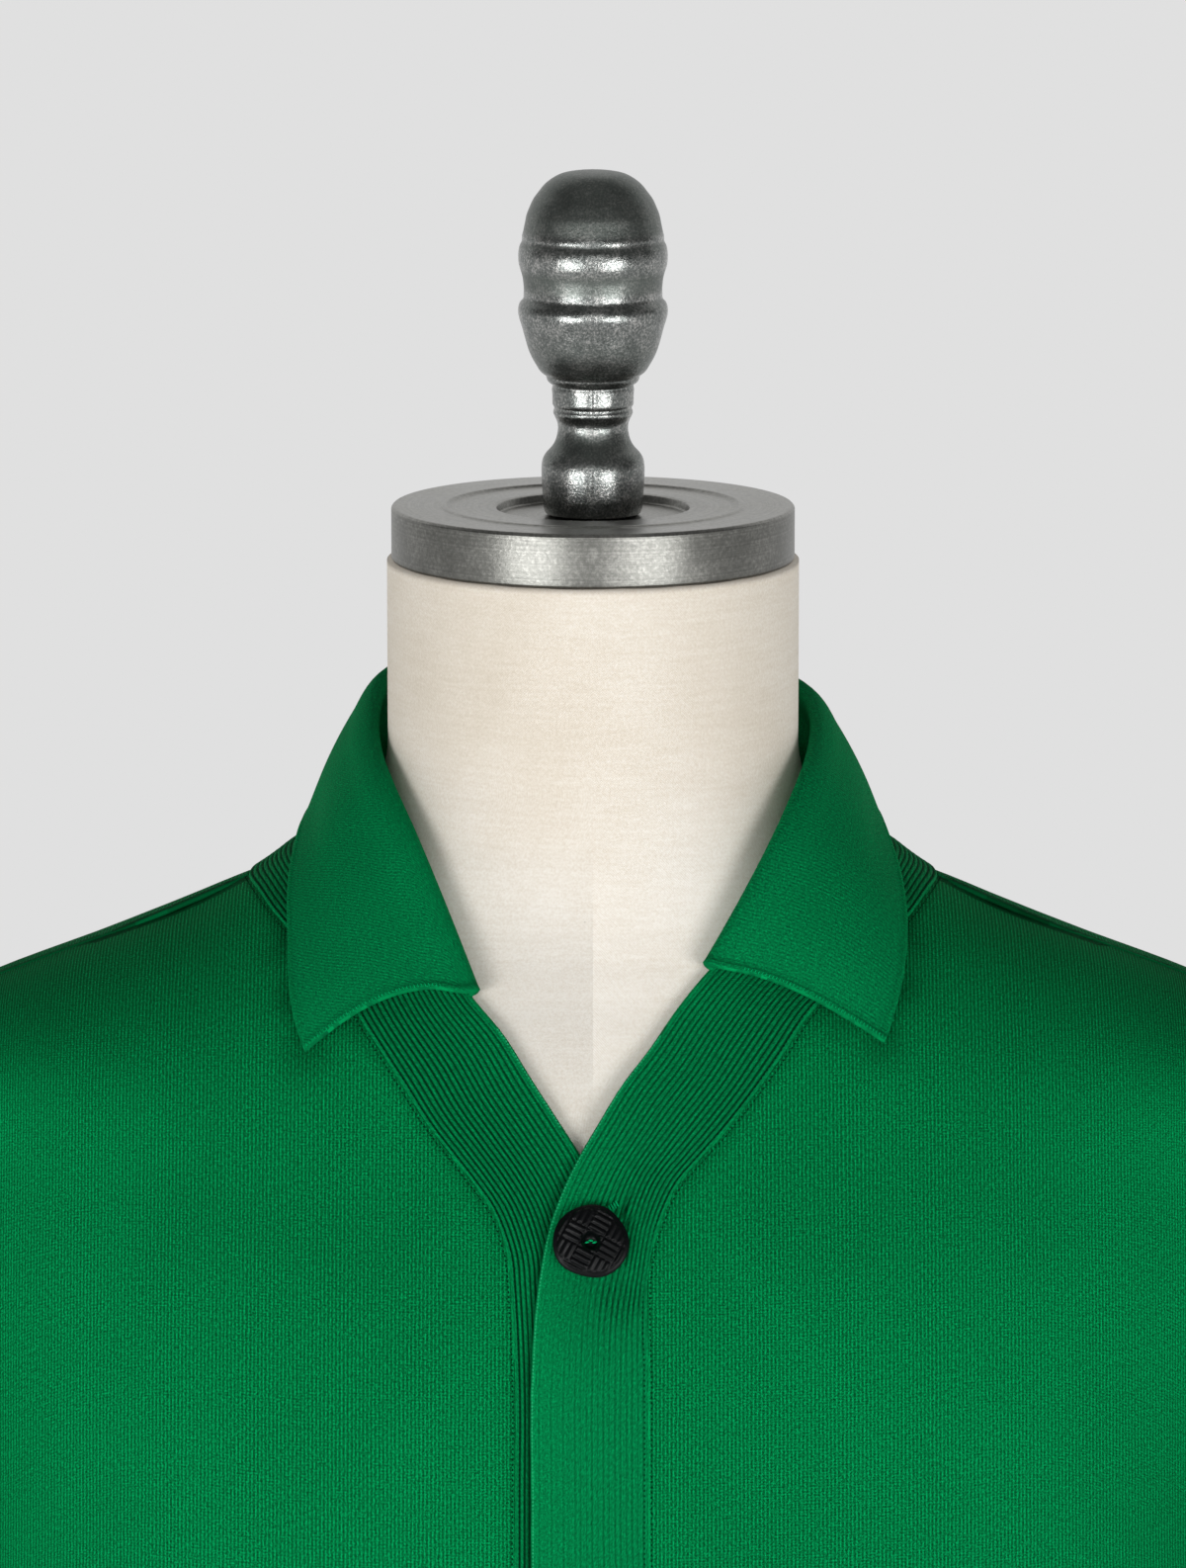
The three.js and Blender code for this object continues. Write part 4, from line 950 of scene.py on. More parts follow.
def plain_panel(name, grid, uv_of=wale_uv, top_shade=0.0):
    """A panel of plain jersey, with painted shadow beside the collar; its top edge may take painted shade
    along a seam.
    """
    fine = refined(grid, 5.5)
    painted_shade_and_patina = painted_shadow_by_collar(fine)
    painted_shade_and_patina[0] = np.maximum(painted_shade_and_patina[0], top_shade)
    return wall(name, fine, uv_of(fine), JERSEY, away_from_axis, painted_shade_and_patina=painted_shade_and_patina)


finished(plain_panel("knit_front_left", left_front), jersey_knit, "jersey", "front_left")
finished(plain_panel("knit_front_right", right_front), jersey_knit, "jersey", "front_right")
# The back's top edge takes painted shade along the shoulders.
knit_back = plain_panel("knit_back", back_panel, lambda grid: unrolled(wale_uv(grid)), 0.6)
finished(knit_back, jersey_knit, "jersey", "back")

for name, side in (("sleeve_left", 1), ("sleeve_right", -1)):
    rings = refined_round(sleeve_rings(side), 5, 88)
    sleeve = wall(f"knit_{name}", rings, round_uv(rings, 352), JERSEY, away_from_middle, closed=True)
    finished(sleeve, jersey_knit, "jersey", name)


# ==== ribs ================================================================================


def rib_profile(phase, depth, opened):
    """Height of ribs at a phase that counts them, and the painted shade in the hollow that opens between
    crests.
    """
    off_groove = np.abs(phase - np.round(phase))
    crest = np.minimum(off_groove / 0.32, 1)
    crest = crest * crest * (3 - 2 * crest)
    narrow = 0.13 + 0.10 * opened
    dark = np.exp(-((off_groove / narrow) ** 2)) * np.sqrt(opened)
    return depth * (crest - 0.6), dark


# How wide the ribs of a band open, at rows of the band counted by z of its inner edge:
# at the free edge, a third and two thirds across, and beside the seam. The opening also sets
# the painted shade in the ribs' hollows.
BAND_OPEN_LEFT = np.array([
    (45, 0.08, 0.16, 0.22, 0.25),
    (570, 0.06, 0.16, 0.22, 0.25),
    (592, 0.03, 0.14, 0.26, 0.3),
    (606, 0.0, 0.2, 0.6, 0.5),
    (625, 0.05, 0.4, 0.8, 0.7),
    (642, 0.3, 0.5, 0.9, 0.8),
    (660, 0.5, 0.6, 0.7, 0.9),
    (700, 0.65, 0.7, 0.8, 0.95),
    (746, 0.65, 0.7, 0.8, 0.9),
], float)
# The right band is opened wide below, so that its strip beside the left band's edge reads dark with painted
# shade.
BAND_OPEN_RIGHT = np.array([
    (45, 0.4, 0.6, 0.8, 1.0),
    (600, 0.4, 0.6, 0.9, 1.0),
    (630, 0.5, 0.8, 1.0, 1.0),
    (660, 0.75, 0.85, 0.95, 0.9),
    (700, 0.75, 0.8, 0.9, 0.95),
    (746, 0.7, 0.75, 0.8, 0.9),
], float)


def rib_band(name, grid, opening, buttoned):
    """A ribbed band. Round each button its ribs are pushed aside and open, by a buttonhole darkened
    with painted shade; painted shade also lies under each button and where other parts cover the band.
    """
    fine = refined(grid, 4, BAND_RIBS * 8)
    rows, cols = fine.shape[:2]
    x, z = fine[..., 0], fine[..., 2]
    across = np.linspace(0, 1, cols)
    share = np.broadcast_to(across, (rows, cols))
    opened = spline(reader(opening)(z[:, 0]), [0, 1 / 3, 2 / 3, 1], across).T
    shift, hole, dull = np.zeros((3, rows, cols))
    if buttoned:
        right = x - BUTTON_X
        for i in range(BUTTON_COUNT):
            above = z - BUTTON_TOP_Z + i * BUTTON_PITCH
            near = np.exp(-(((above + 2) / 15) ** 2) - ((right - 9) / 8) ** 2)
            shift += 2.2 * near * BAND_RIBS / BAND_WIDTH
            for at_x, at_z, reach in ((13, 9, 5.5), (9, -14, 8)):
                off = (right - at_x) ** 2 / reach**2 + (above - at_z) ** 2 / 42
                opened = np.maximum(opened, 1.6 * np.exp(-off))
            # The buttonhole's open end is a short crescent beside the button, sunk a little and darkened
            # with painted shade.
            off_slit = (right - 9.8 - 0.03 * (above - 9) ** 2) / 0.55
            hole = np.maximum(hole, np.exp(-(off_slit**2) - ((above - 9.5) / 4.2) ** 4))
            # Painted shade under the button, where the placket pulls down.
            shade = np.exp(-(((right + 2) / 14) ** 2) - ((above + 16) / 22) ** 2)
            dull = np.maximum(dull, 0.26 * shade)
        # Painted shade, faint, over the band below the top button.
        dull = np.maximum(dull, 0.08 * (1 - smooth(z, 620, 660)))
    else:
        # Painted shade, deep, where the other band's free edge rests on this one.
        edge_x = np.interp(z, left_band[::-1, 0, 2], left_band[::-1, 0, 0])
        dull = 0.6 * np.exp(-(((x - edge_x + 0.5) / 2.2) ** 2)) * (1 - smooth(z, 640, 652))
    dull = np.maximum(dull, painted_shadow_by_collar(fine))
    opened = np.clip(opened, 0, 1)
    raised, dark = rib_profile(share * BAND_RIBS - shift, 0.08 + 0.4 * opened, opened)
    dark = np.maximum(np.maximum(dark, hole), dull)
    from_free, from_seam = share * BAND_WIDTH, (1 - share) * BAND_WIDTH
    inside = smooth(np.minimum(from_free, from_seam), 0.3, 1.2)
    # The free edge is a smooth bound lip, and beside the seam the cloth dips into the stitches.
    raised = (raised - 0.5 * hole) * inside + 0.25 * np.exp(-(((from_free - 1) / 0.8) ** 2))
    raised -= 0.5 * np.exp(-((from_seam / 0.7) ** 2))
    uv = np.stack([run_across(fine), run_down(fine)], -1)
    return wall(name, fine, uv, RIB_KNIT, away_from_axis, raised, dark * inside)


finished(rib_band("rib_band_left", left_band, BAND_OPEN_LEFT, True), band_knit, "rib", "band_left")
finished(rib_band("rib_band_right", right_band, BAND_OPEN_RIGHT, False), band_knit, "rib", "band_right")


def hem_points(turns, straight, lifted):
    """The ribbed hem below a panel. Beside a band it follows the band's seam."""
    share = np.linspace(0, 1, 31)
    rows = []
    for z in np.linspace(HEM_TOP, HEM, 7):
        first = turn_at_x(straight[1], z) if straight else turns[-1, 0]
        rows.append(on_cloth(mix(first, turns[-1, -1], share), np.full(31, z), lifted))
    return np.array(rows)


def ribbed(name, grid, closed=False):
    """A hem or a cuff in the garment's rib, for the CAD node of that name."""
    length = np.linalg.norm(np.diff(grid[0], axis=0), axis=-1).sum()
    if closed:
        ribs = round(length * (1 + 1 / (grid.shape[1] - 1)) / HEM_RIB)
        fine = refined_round(grid, 9, ribs * RIB_STEPS)
        uv, outward = round_uv(fine, length), away_from_middle
    else:
        fine = refined(grid, 11, round(length / HEM_RIB) * RIB_STEPS)
        uv, outward = np.stack([run_across(fine), run_down(fine)], -1), away_from_axis
    raised, dark = rib_profile(np.arange(fine.shape[1]) / RIB_STEPS, 0.4, 0.75)
    piece = wall(f"rib_{name}", fine, uv, RIB_KNIT, outward, raised, dark, closed)
    finished(piece, band_knit, "rib", name)


ribbed("hem_left", hem_points(left_turns, LEFT_STRAIGHT, True))
ribbed("hem_right", hem_points(right_turns, RIGHT_STRAIGHT, False))
ribbed("hem_back", hem_points(back_turns, None, False))
cuff_turn = 2 * math.pi * np.arange(22) / 22
for name, side in (("cuff_left", 1), ("cuff_right", -1)):
    ribbed(name, np.array([oval_ring(oval, cuff_turn, side, i == 0) for i, oval in enumerate(CUFF)]), True)


# ==== collar ==============================================================================

collar_fine = refined(collar_line, 1.6)
from_end = np.minimum(run_down(collar_fine), run_down(collar_fine[::-1])[::-1])
from_edge = run_across(collar_fine[:, ::-1])[:, ::-1]
# A border stands proud along the ends and the falling edge, with a line of painted shade beside it.
BORDER = 1.7
border = 0.14 * (1 - smooth(np.minimum(from_end, from_edge), 1.0, 1.6))
collar_painted_shade = 0.5 * np.exp(-(((from_end - BORDER) / 0.4) ** 2))
collar_painted_shade += 0.12 * np.exp(-(((from_edge - BORDER) / 0.4) ** 2))
collar_uv = np.stack([run_down(collar_fine), run_across(collar_fine)], -1)


def off_fall(grid, normal):
    """The collar's shown side is the one its fall turns outwards."""
    return away_from_axis(grid, normal)[:, -8:]


knit_collar = wall("knit_collar", collar_fine, collar_uv, COLLAR_KNIT, off_fall, border, collar_painted_shade)
finished(knit_collar, collar_knit, "collar_knit", "collar")

# ==== dress form, cap and knob ============================================================


def torso():
    """The canvas cover of the form, from its flat underside to the top of the neck."""
    columns = 144
    levels = np.concatenate([np.arange(0, 660, 6), np.arange(660, NECK_TOP, 2.5), [NECK_TOP]])
    turn = 2 * math.pi * np.arange(columns) / columns
    grid = np.array([section_point(form_section(z), turn, np.full(columns, z)) for z in levels])
    normal = facing_out(normals_of(grid, True), grid, away_from_axis)
    u = np.linalg.norm(np.roll(grid, -1, axis=1) - grid, axis=-1).cumsum(axis=1)
    u = np.concatenate([np.zeros((len(levels), 1)), u], axis=1)
    v = np.broadcast_to(levels[:, None], u.shape)
    uv = np.stack([u, v], -1)
    # A ridge where the canvas is joined down the middle of the front and back, and one round
    # the root of the neck.
    neck_seam = 704 + 9 * (1 - np.cos(turn)) / 2
    ridge = 0.3 * np.exp(-((np.sin(turn) * NECK_RADIUS / 0.9) ** 2))[None, :]
    ridge = ridge + 0.35 * np.exp(-(((levels[:, None] - neck_seam[None, :]) / 1.6) ** 2))
    grid = grid + normal * ridge[..., None]
    rows = len(levels)
    index = np.arange(rows * columns).reshape(rows, columns)
    i, j = np.meshgrid(np.arange(rows - 1), np.arange(columns), indexing="ij")
    k = (j + 1) % columns
    face = np.stack([index[i, j], index[i, k], index[i + 1, k], index[i + 1, j]], -1).reshape(-1, 4)
    corner = np.stack([uv[i, j], uv[i, j + 1], uv[i + 1, j + 1], uv[i + 1, j]], -2).reshape(-1, 4, 2)
    ends = [index[0][::-1], index[-1]]
    points = grid.reshape(-1, 3)
    uvs = np.concatenate([corner.reshape(-1, 2), *[points[end][:, :2] for end in ends]])
    return mesh_piece("canvas_torso", points, [*face.tolist(), *[end.tolist() for end in ends]], uvs)


def ring_faces(count, segments, flipped=False):
    """Faces between rings of points, closed at each end round one more point."""
    index = np.arange(count * segments).reshape(count, segments)
    faces = []
    for j in range(segments):
        k = (j + 1) % segments
        faces.append((count * segments, index[0, k], index[0, j]))
        faces.append((count * segments + 1, index[-1, j], index[-1, k]))
        faces += [(index[i, j], index[i, k], index[i + 1, k], index[i + 1, j]) for i in range(count - 1)]
    return [(face[0], *face[:0:-1]) for face in faces] if flipped else faces


def turned(name, outline, base, segments=128, parting=0.0, patina_and_shade=None):
    """A shape turned about the form's axis, from (radius, height) in millimetres. A casting has
    a fine raised parting line down its front and back."""
    outline = np.array(outline, float)
    turn = 2 * math.pi * np.arange(segments) / segments
    inner = outline[1:-1]
    ring = np.stack([np.cos(turn), np.sin(turn), 0 * turn], -1)
    line = parting * np.exp(-((np.cos(turn) * inner[:, :1] / 0.45) ** 2))[..., None]
    points = (inner[:, None, 0:1] + line) * ring[None] + np.array([0, 0, 1.0]) * inner[:, None, 1:2]
    points = np.concatenate([points.reshape(-1, 3), [[0, 0, outline[0, 1]], [0, 0, outline[-1, 1]]]])
    patina_and_shade_map = None if patina_and_shade is None else np.interp(points[:, 2], patina_and_shade[:, 0], patina_and_shade[:, 1])
    points += np.array([0, AXIS_Y, base])
    return mesh_piece(name, points, ring_faces(len(inner), segments), painted_shade_and_patina=patina_and_shade_map)


def rounded(corners, radius):
    """An outline with each inner corner turned into a small arc."""
    corners = np.array(corners, float)
    made = [corners[0]]
    for before, here, after in zip(corners, corners[1:], corners[2:]):
        near = min(radius, np.linalg.norm(before - here) * 0.45, np.linalg.norm(after - here) * 0.45)
        start, end = here + unit(before - here) * near, here + unit(after - here) * near
        made += [start * (1 - t) ** 2 + here * 2 * t * (1 - t) + end * t**2 for t in (0, 0.25, 0.5, 0.75, 1)]
    return made + [corners[-1]]


CAP_RECESS = 12.8  # height of the recess's floor, on which the knob stands
# The cap and the knob as (radius, height), from the middle of the foot to the middle of the top.
PLATE = rounded([
    (0, 0), (59.2, 0), (59.7, 0.6), (59.7, 15.2), (59, 16), (45.4, 15.7), (44.4, 16.2), (43.2, 16.2),
    (42.2, 15.4), (29.8, 15.5), (28.6, 15.2), (28.0, 13.1), (27.5, CAP_RECESS), (0, CAP_RECESS),
], 0.35)
KNOB = [
    (0, 0), (12.9, 0), (14, 0.5), (14.5, 1.6), (14.8, 4.2), (15.1, 8.5), (15.25, 12), (15.2, 14.8),
    (14.8, 16.7), (13.8, 18.4), (12.4, 19.9), (11.3, 21.6), (10.6, 23.8), (10.35, 26), (10.6, 27.6),
    (11.2, 29), (11.75, 30.3), (11.65, 31.2), (11.35, 31.9), (11.85, 32.5), (12, 34.2), (12.05, 36),
    (12.15, 37.4), (12, 38.2), (11.95, 38.7), (12.7, 39.1), (13.4, 39.8), (13.75, 40.6),
    (13.8, 41.3), (14.4, 41.7), (15.3, 42.4), (16.8, 44.6), (18.1, 46.9), (19.1, 49.3),
    (19.8, 51.6), (20.45, 54), (21.1, 56.3), (21.7, 58.2), (22.05, 59.9), (22.05, 61.2),
    (21.8, 62.4), (21.3, 63.3), (20.75, 63.8), (20.5, 64.3), (20.45, 65.2), (20.42, 66.2),
    (20.38, 67.2), (20.5, 68.6), (20.65, 70), (20.95, 71.4), (21.4, 72.8), (21.8, 74.2), (22, 75.8),
    (22, 77.4), (21.85, 78.8), (21.6, 79.8), (21.25, 80.5), (21, 80.9), (20.92, 81.4),
    (20.92, 82.2), (20.88, 82.9), (20.6, 83.8), (20.3, 85.2), (20, 86.7), (19.5, 89), (18.7, 91),
    (17.6, 93.4), (16, 95.6), (14.2, 97.8), (12.2, 99.4), (9.8, 100.7), (6.5, 101.5), (3.2, 101.8),
    (0, 101.9),
]
# How dark the knob is made at heights on it: patina deep in its hollows and on the dome, and painted shade
# on its waists, which would otherwise show the lamps.
KNOB_PATINA_AND_SHADE = np.array([
    (0, 0.2), (10, 0.0), (15, 0.1), (18, 0.6), (22, 0.7), (25, 0.3), (28, 0.1), (38, 0.1), (41, 0.1),
    (44, 0.45), (50, 0.45), (55, 0.15), (60, 0.0), (62.5, 0.2), (63.8, 0.5), (65, 0.0), (66, 0.0),
    (67.5, 0.6), (71.5, 0.7), (73.5, 0.2), (76, 0.0), (79, 0.1), (80.7, 0.5), (82, 0.0), (83, 0.1),
    (84.5, 0.65), (92, 0.7), (102, 0.75),
])

finished(torso(), form_canvas(), "canvas", "form_torso")
finished(turned("cap_plate", PLATE, NECK_TOP + SEAM_GAP), turned_aluminium(), "cap", "neck_cap")
knob = np.array(KNOB, float)
along = np.cumsum(np.linalg.norm(np.diff(knob, axis=0), axis=-1))
knob = np.concatenate([knob[:1], spline(knob[1:], along, np.linspace(along[0], along[-1], 168))])
knob_seat = NECK_TOP + SEAM_GAP + CAP_RECESS + SEAM_GAP
finished(turned("cap_knob", knob, knob_seat, 192, 0.12, KNOB_PATINA_AND_SHADE), cast_zinc(), "knob", "knob")


# ==== buttons =============================================================================


def basket_relief(x, y):
    """Blocks of three ridges each, laid crosswise by turns."""
    x, y = x * math.cos(0.5) - y * math.sin(0.5), x * math.sin(0.5) + y * math.cos(0.5)
    x, y = x / 5.6 + 0.5, y / 5.6 + 0.5
    cell = (np.floor(x) + np.floor(y)) % 2
    x, y = x - np.floor(x), y - np.floor(y)
    line = np.where(cell < 1, x, y)
    edge = np.minimum(np.minimum(x, 1 - x), np.minimum(y, 1 - y))
    return np.abs(np.sin(3 * math.pi * line)) * smooth(edge, 0, 0.1)


def button(i):
    """One button on its band; gives its seat and its ways across, up and out."""
    z = BUTTON_TOP_Z - i * BUTTON_PITCH
    turn = turn_at_x(BUTTON_X, z)
    seat = on_cloth(np.array([turn]), np.array([float(z)]), True)[0]
    normal = cloth_normal(np.array([turn]), np.array([float(z)]))[0]
    side = unit(np.cross(np.array([0, 0, 1.0]), normal))
    up = np.cross(normal, side)
    seat = seat + normal * 1.75
    angles, radii = 120, np.concatenate([np.linspace(0.5, 10.2, 52), [10.5, 10.7, 10.78]])
    a = 2 * math.pi * np.arange(angles) / angles + i
    outline = 1 + 0.022 * np.cos(2 * a + 0.6) + 0.018 * np.cos(3 * a + 2) + 0.012 * np.cos(5 * a)
    r = radii[:, None] * outline[None, :]
    x, y = r * np.cos(a - i), r * np.sin(a - i)
    out = radii[:, None]
    height = 2.0 + 1.9 * np.sqrt(np.clip(1 - (out / BUTTON_RADIUS) ** 2.6, 0, 1))
    height = height - 2.2 * np.exp(-((out / 2.4) ** 4))
    height = height + 0.6 * basket_relief(x, y) * smooth(out, 2.3, 3.2) * (1 - smooth(out, 9.2, 9.9))
    rows = [np.stack([x[k], y[k], height[k]], -1) for k in range(len(radii))]
    for radius, level in ((10.6, 1.0), (9.8, 0.3), (7.5, 0.0)):
        around = radius * outline
        rows.append(np.stack([around * np.cos(a - i), around * np.sin(a - i), 0 * a + level], -1))
    local = np.concatenate([*rows, [[0, 0, height[0].mean()], [0, 0, 0]]])
    points = seat + local[:, :1] * side + local[:, 1:2] * up + local[:, 2:] * normal
    made = mesh_piece(f"resin_button_{i + 1}", points, ring_faces(len(rows), angles, True))
    finished(made, button_resin, "button", f"button_{i + 1}")
    return seat, side, up, normal


buttons = [button(i) for i in range(BUTTON_COUNT)]


# ==== stitches ============================================================================


def stitch_tree():
    """Lays a short stitch at even spaces along a line; each vertex says which way it lies."""
    tree = bpy.data.node_groups.new("stitches_along_a_line", "GeometryNodeTree")
    for name, way, kind in (
        ("Line", "INPUT", "Geometry"), ("Spacing", "INPUT", "Float"), ("Length", "INPUT", "Float"),
        ("Thickness", "INPUT", "Float"), ("Yarn", "INPUT", "Material"), ("Stitches", "OUTPUT", "Geometry"),
    ):
        tree.interface.new_socket(name, in_out=way, socket_type="NodeSocket" + kind)
    add = adder(tree)
    given = add("NodeGroupInput").node.outputs
    curve = add("GeometryNodeMeshToCurve", given["Line"])
    places = add("GeometryNodeCurveToPoints", Curve=curve, Length=given["Spacing"], mode="LENGTH")
    lie = add("GeometryNodeInputNamedAttribute", out="Attribute", Name="lie", data_type="FLOAT_VECTOR")
    laid = add(
        "GeometryNodeInstanceOnPoints",
        Points=places,
        Instance=add("GeometryNodeMeshUVSphere", Segments=5, Rings=4, Radius=0.5),
        Rotation=add("FunctionNodeAlignRotationToVector", Vector=lie, axis="Z"),
        Scale=add("ShaderNodeCombineXYZ", given["Thickness"], given["Thickness"], given["Length"]),
    )
    smoothed = add("GeometryNodeSetShadeSmooth", add("GeometryNodeRealizeInstances", laid))
    add("NodeGroupOutput", add("GeometryNodeSetMaterial", Geometry=smoothed, Material=given["Yarn"]))
    return tree


stitches = stitch_tree()


def stitched(name, lines, spacing, length, thickness, yarn, slot):
    """One piece of stitches along several lines; each line is points and the ways they lie."""
    mesh = bpy.data.meshes.new(name)
    points = np.concatenate([line for line, _ in lines])
    ways = np.concatenate([np.broadcast_to(way, line.shape) for line, way in lines])
    edges, first = [], 0
    for line, _ in lines:
        edges += [(first + i, first + i + 1) for i in range(len(line) - 1)]
        first += len(line)
    mesh.from_pydata((points * MM).tolist(), edges, [])
    lie = mesh.attributes.new("lie", "FLOAT_VECTOR", "POINT")
    lie.data.foreach_set("vector", ways.ravel().astype(np.float32))
    guide = placed(name + "_guide", mesh)
    modifier = guide.modifiers.new("stitches", "NODES")
    modifier.node_group = stitches
    values = {"Spacing": spacing * MM, "Length": length * MM, "Thickness": thickness * MM, "Yarn": yarn}
    for item in stitches.interface.items_tree:
        if item.in_out == "INPUT" and item.name in values:
            modifier[item.identifier] = values[item.name]
    graph = bpy.context.evaluated_depsgraph_get()
    made = bpy.data.meshes.new_from_object(guide.evaluated_get(graph))
    bpy.data.objects.remove(guide)
    obj = placed(name, made)
    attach(obj, "root")


def line_beside(grid, column, inset, lift, thickness=JERSEY, crosswise=False):
    """A line on a panel's outer face near one of its edges, with the way its stitches lie."""
    fine = refined(grid, 4)
    normal = facing_out(normals_of(fine, False), fine, away_from_axis)
    beside = 1 if column == 0 else -2
    across = unit(fine[:, beside] - fine[:, column])
    line = fine[:, column] + across * inset + normal[:, column] * (thickness / 2 + lift)
    return line, across if crosswise else unit(np.gradient(line, axis=0))


def lip_line(band, covered):
    """The bound free edge of a band up to the collar, above where the other band covers it."""
    line, along = line_beside(band, 0, -0.05, -0.35, RIB_KNIT)
    bare = (line[:, 2] > covered) & (line[:, 2] < UNDER_COLLAR)
    return line[bare], along[bare]


def collar_end(row, beside):
    """Stitches just inside an end of the collar, from its fold to its point."""
    inward = unit(collar_fine[beside, shown] - collar_fine[row, shown])
    out = collar_normal[row, shown] * (COLLAR_KNIT / 2 + 0.2)
    return collar_fine[row, shown] + inward * 0.75 + out, inward


fronts, bands = (left_front, right_front), (left_band, right_band)
down_to_underarm = slice(UNDERARM_ROW + 1)
seam_lines = [line_beside(panel, 0, 0.9, 0.02) for panel in fronts]
seam_lines += [line_beside(band, -1, 1.3, -0.05, RIB_KNIT) for band in bands]
armhole_lines = [
    line_beside(panel[down_to_underarm], column, 0.8, 0)
    for panel, column in ((left_front, -1), (right_front, -1), (back_panel, 0), (back_panel, -1))
]
lip_lines = [lip_line(left_band, HEM), lip_line(right_band, 655)]
shoulder_lines = [
    line_beside(panel.swapaxes(0, 1), 0, -0.45, -0.1, crosswise=True) for panel in fronts
]
collar_normal = facing_out(normals_of(collar_fine, False), collar_fine, off_fall)
shown = slice(round(collar_fine.shape[1] * 0.47), None)
end_lines = [collar_end(0, 3), collar_end(-1, -4)]
inward = unit(collar_fine[:, -4] - collar_fine[:, -1])
fall_line = collar_fine[:, -1] + inward * 1.1 + collar_normal[:, -1] * (COLLAR_KNIT / 2 + 0.15)

# The thread that sews each button on, and the bars that finish each buttonhole.
button_thread, buttonhole_bars = [], []
for seat, side, up, normal in buttons:
    for offset, lean in ((-1.1, 0.25), (0.0, -0.1), (1.1, 0.3)):
        middle = seat + normal * 2.25 + side * offset + up * 0.25 * math.cos(offset * 3)
        way = unit(side + up * lean)
        button_thread.append((np.stack([middle - way * 0.01, middle + way * 0.01]), way))
    start = seat + side * 4 + up * 9.2 - normal * 0.45
    hole = np.stack([start, start + side * 3.5 + up * 2.2])
    buttonhole_bars.append((hole, unit(up - side * 0.5)))

# name, lines, then spacing, length and thickness of a stitch in mm, its yarn, and the slot
for row in (
    ("stitches_band_seams", seam_lines, 1.5, 0.75, 0.5, link_yarn, "rib"),
    ("stitches_band_lips", lip_lines, 1.05, 1.2, 0.95, lip_yarn_painted_light, "rib"),
    ("stitches_armholes", armhole_lines, 1.6, 1.1, 0.35, link_yarn, "jersey"),
    ("stitches_shoulders", shoulder_lines, 0.5, 2.8, 1.1, shoulder_yarn, "jersey"),
    ("stitches_collar_ends", end_lines, 1.05, 1.25, 0.4, edge_yarn, "collar_knit"),
    ("stitches_collar_fall", [(fall_line, inward)], 1.25, 1.2, 0.2, seam_yarn, "collar_knit"),
    ("thread_in_buttons", button_thread, 1.0, 1.5, 0.75, edge_yarn, "button"),
    ("bars_of_buttonholes", buttonhole_bars, 0.8, 2.2, 0.6, edge_yarn, "rib"),
):
    stitched(*row)


# ==== stage ===============================================================================


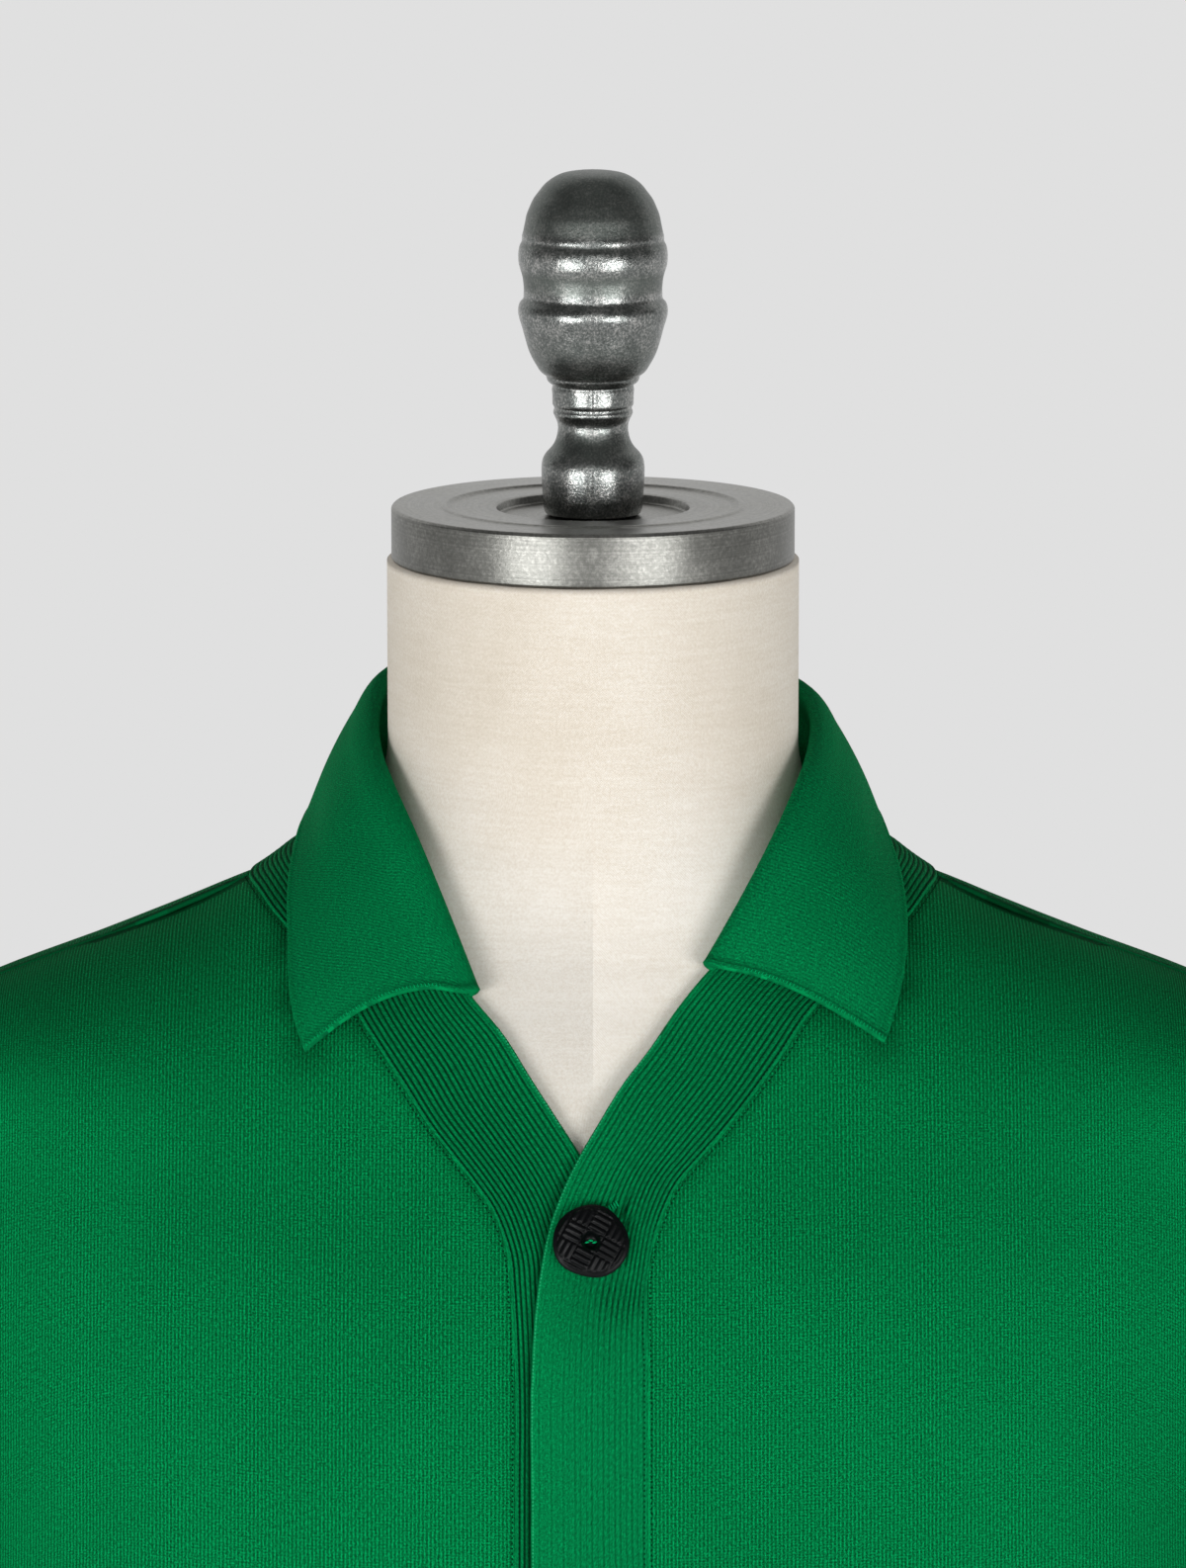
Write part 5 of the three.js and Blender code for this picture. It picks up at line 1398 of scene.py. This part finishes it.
def backdrop():
    """A pale floor that sweeps up into a wall far behind. It is evenly bright far from the
    part, and takes the part's soft shadow near it. Metres."""
    start, sweep, half_width = 13.0, 11.0, 60.0
    profile = [(-36.0, 0.0), (start, 0.0)]
    for turn in np.linspace(0.1, math.pi / 2, 12):
        profile.append((start + sweep * math.sin(turn), sweep - sweep * math.cos(turn)))
    profile.append((start + sweep, 39.0))
    points = [(x, y, z) for x in (-half_width, half_width) for y, z in profile]
    count = len(profile)
    faces = [(i, count + i, count + i + 1, i + 1) for i in range(count - 1)]
    mesh = bpy.data.meshes.new("backdrop")
    mesh.from_pydata(points, [], faces)
    mesh.polygons.foreach_set("use_smooth", [True] * len(mesh.polygons))
    paper, add = material("pale_backdrop_paper")
    far = add("VectorMath", add("TexCoord", out="Object"), out="Value", operation="LENGTH")
    glow, fade = (
        add(
            "MapRange", Value=far, From_Min=0.6, From_Max=1.8, To_Min=least,
            interpolation_type="SMOOTHSTEP",
        )
        for least in (0.42, 0)
    )
    black = linear("#000000")
    shaded(
        paper, Roughness=1, Specular_IOR_Level=0, Emission_Color=linear("#E0E0E0"), Emission_Strength=glow,
        Base_Color=add("Mix", at={0: fade, 6: linear("#E6E6E6"), 7: black}, out=2, data_type="RGBA"),
    )
    mesh.materials.append(paper)
    placed("backdrop", mesh)


backdrop()
# The plain view transform keeps the green as deep as the dyed wool is.
bpy.context.scene.view_settings.view_transform = "Standard"

VIEW_TARGET = Vector((0.0, 0.008, 0.7412))
VIEW_DISTANCE = 2.4
VIEW_ELEVATION = math.radians(10.44)
lens = bpy.data.cameras.new("lens")
lens.lens = 185.2
lens.sensor_width = 36.0
camera = placed("camera", lens)
back_way = Vector((0, -math.cos(VIEW_ELEVATION), math.sin(VIEW_ELEVATION)))
aim = (-back_way).to_track_quat("-Z", "Y").to_matrix().to_4x4()
camera.matrix_world = Matrix.Translation(VIEW_TARGET + back_way * VIEW_DISTANCE) @ aim
bpy.context.scene.camera = camera


def soft_box(name, place, towards, width, height, power):
    light = bpy.data.lights.new(name, "AREA")
    light.shape, light.size, light.size_y = "RECTANGLE", width, height
    light.energy = power
    aim = (Vector(towards) - Vector(place)).to_track_quat("-Z", "Y").to_matrix().to_4x4()
    placed(name, light).matrix_world = Matrix.Translation(place) @ aim


# Two tall boxes in front, either side of the middle, make the pairs of lights on the metal.
soft_box("left", (-1.64, -2.43, 0.40), (0, 0, 0.66), 1.6, 0.66, 35.8)
soft_box("right", (1.54, -2.48, 0.40), (0, 0, 0.66), 1.6, 0.66, 31.8)
soft_box("front", (0, -2.75, 1.35), (0, 0, 0.72), 1.5, 0.8, 7)
soft_box("top", (0, -0.5, 3.4), (0, 0, 0.7), 2.0, 2.0, 1.5)
world = bpy.data.worlds.new("studio")
bpy.context.scene.world = world
world.use_nodes = True
fill(world.node_tree.nodes["Background"], {"Color": linear("#E0E0E0"), "Strength": 0.22})
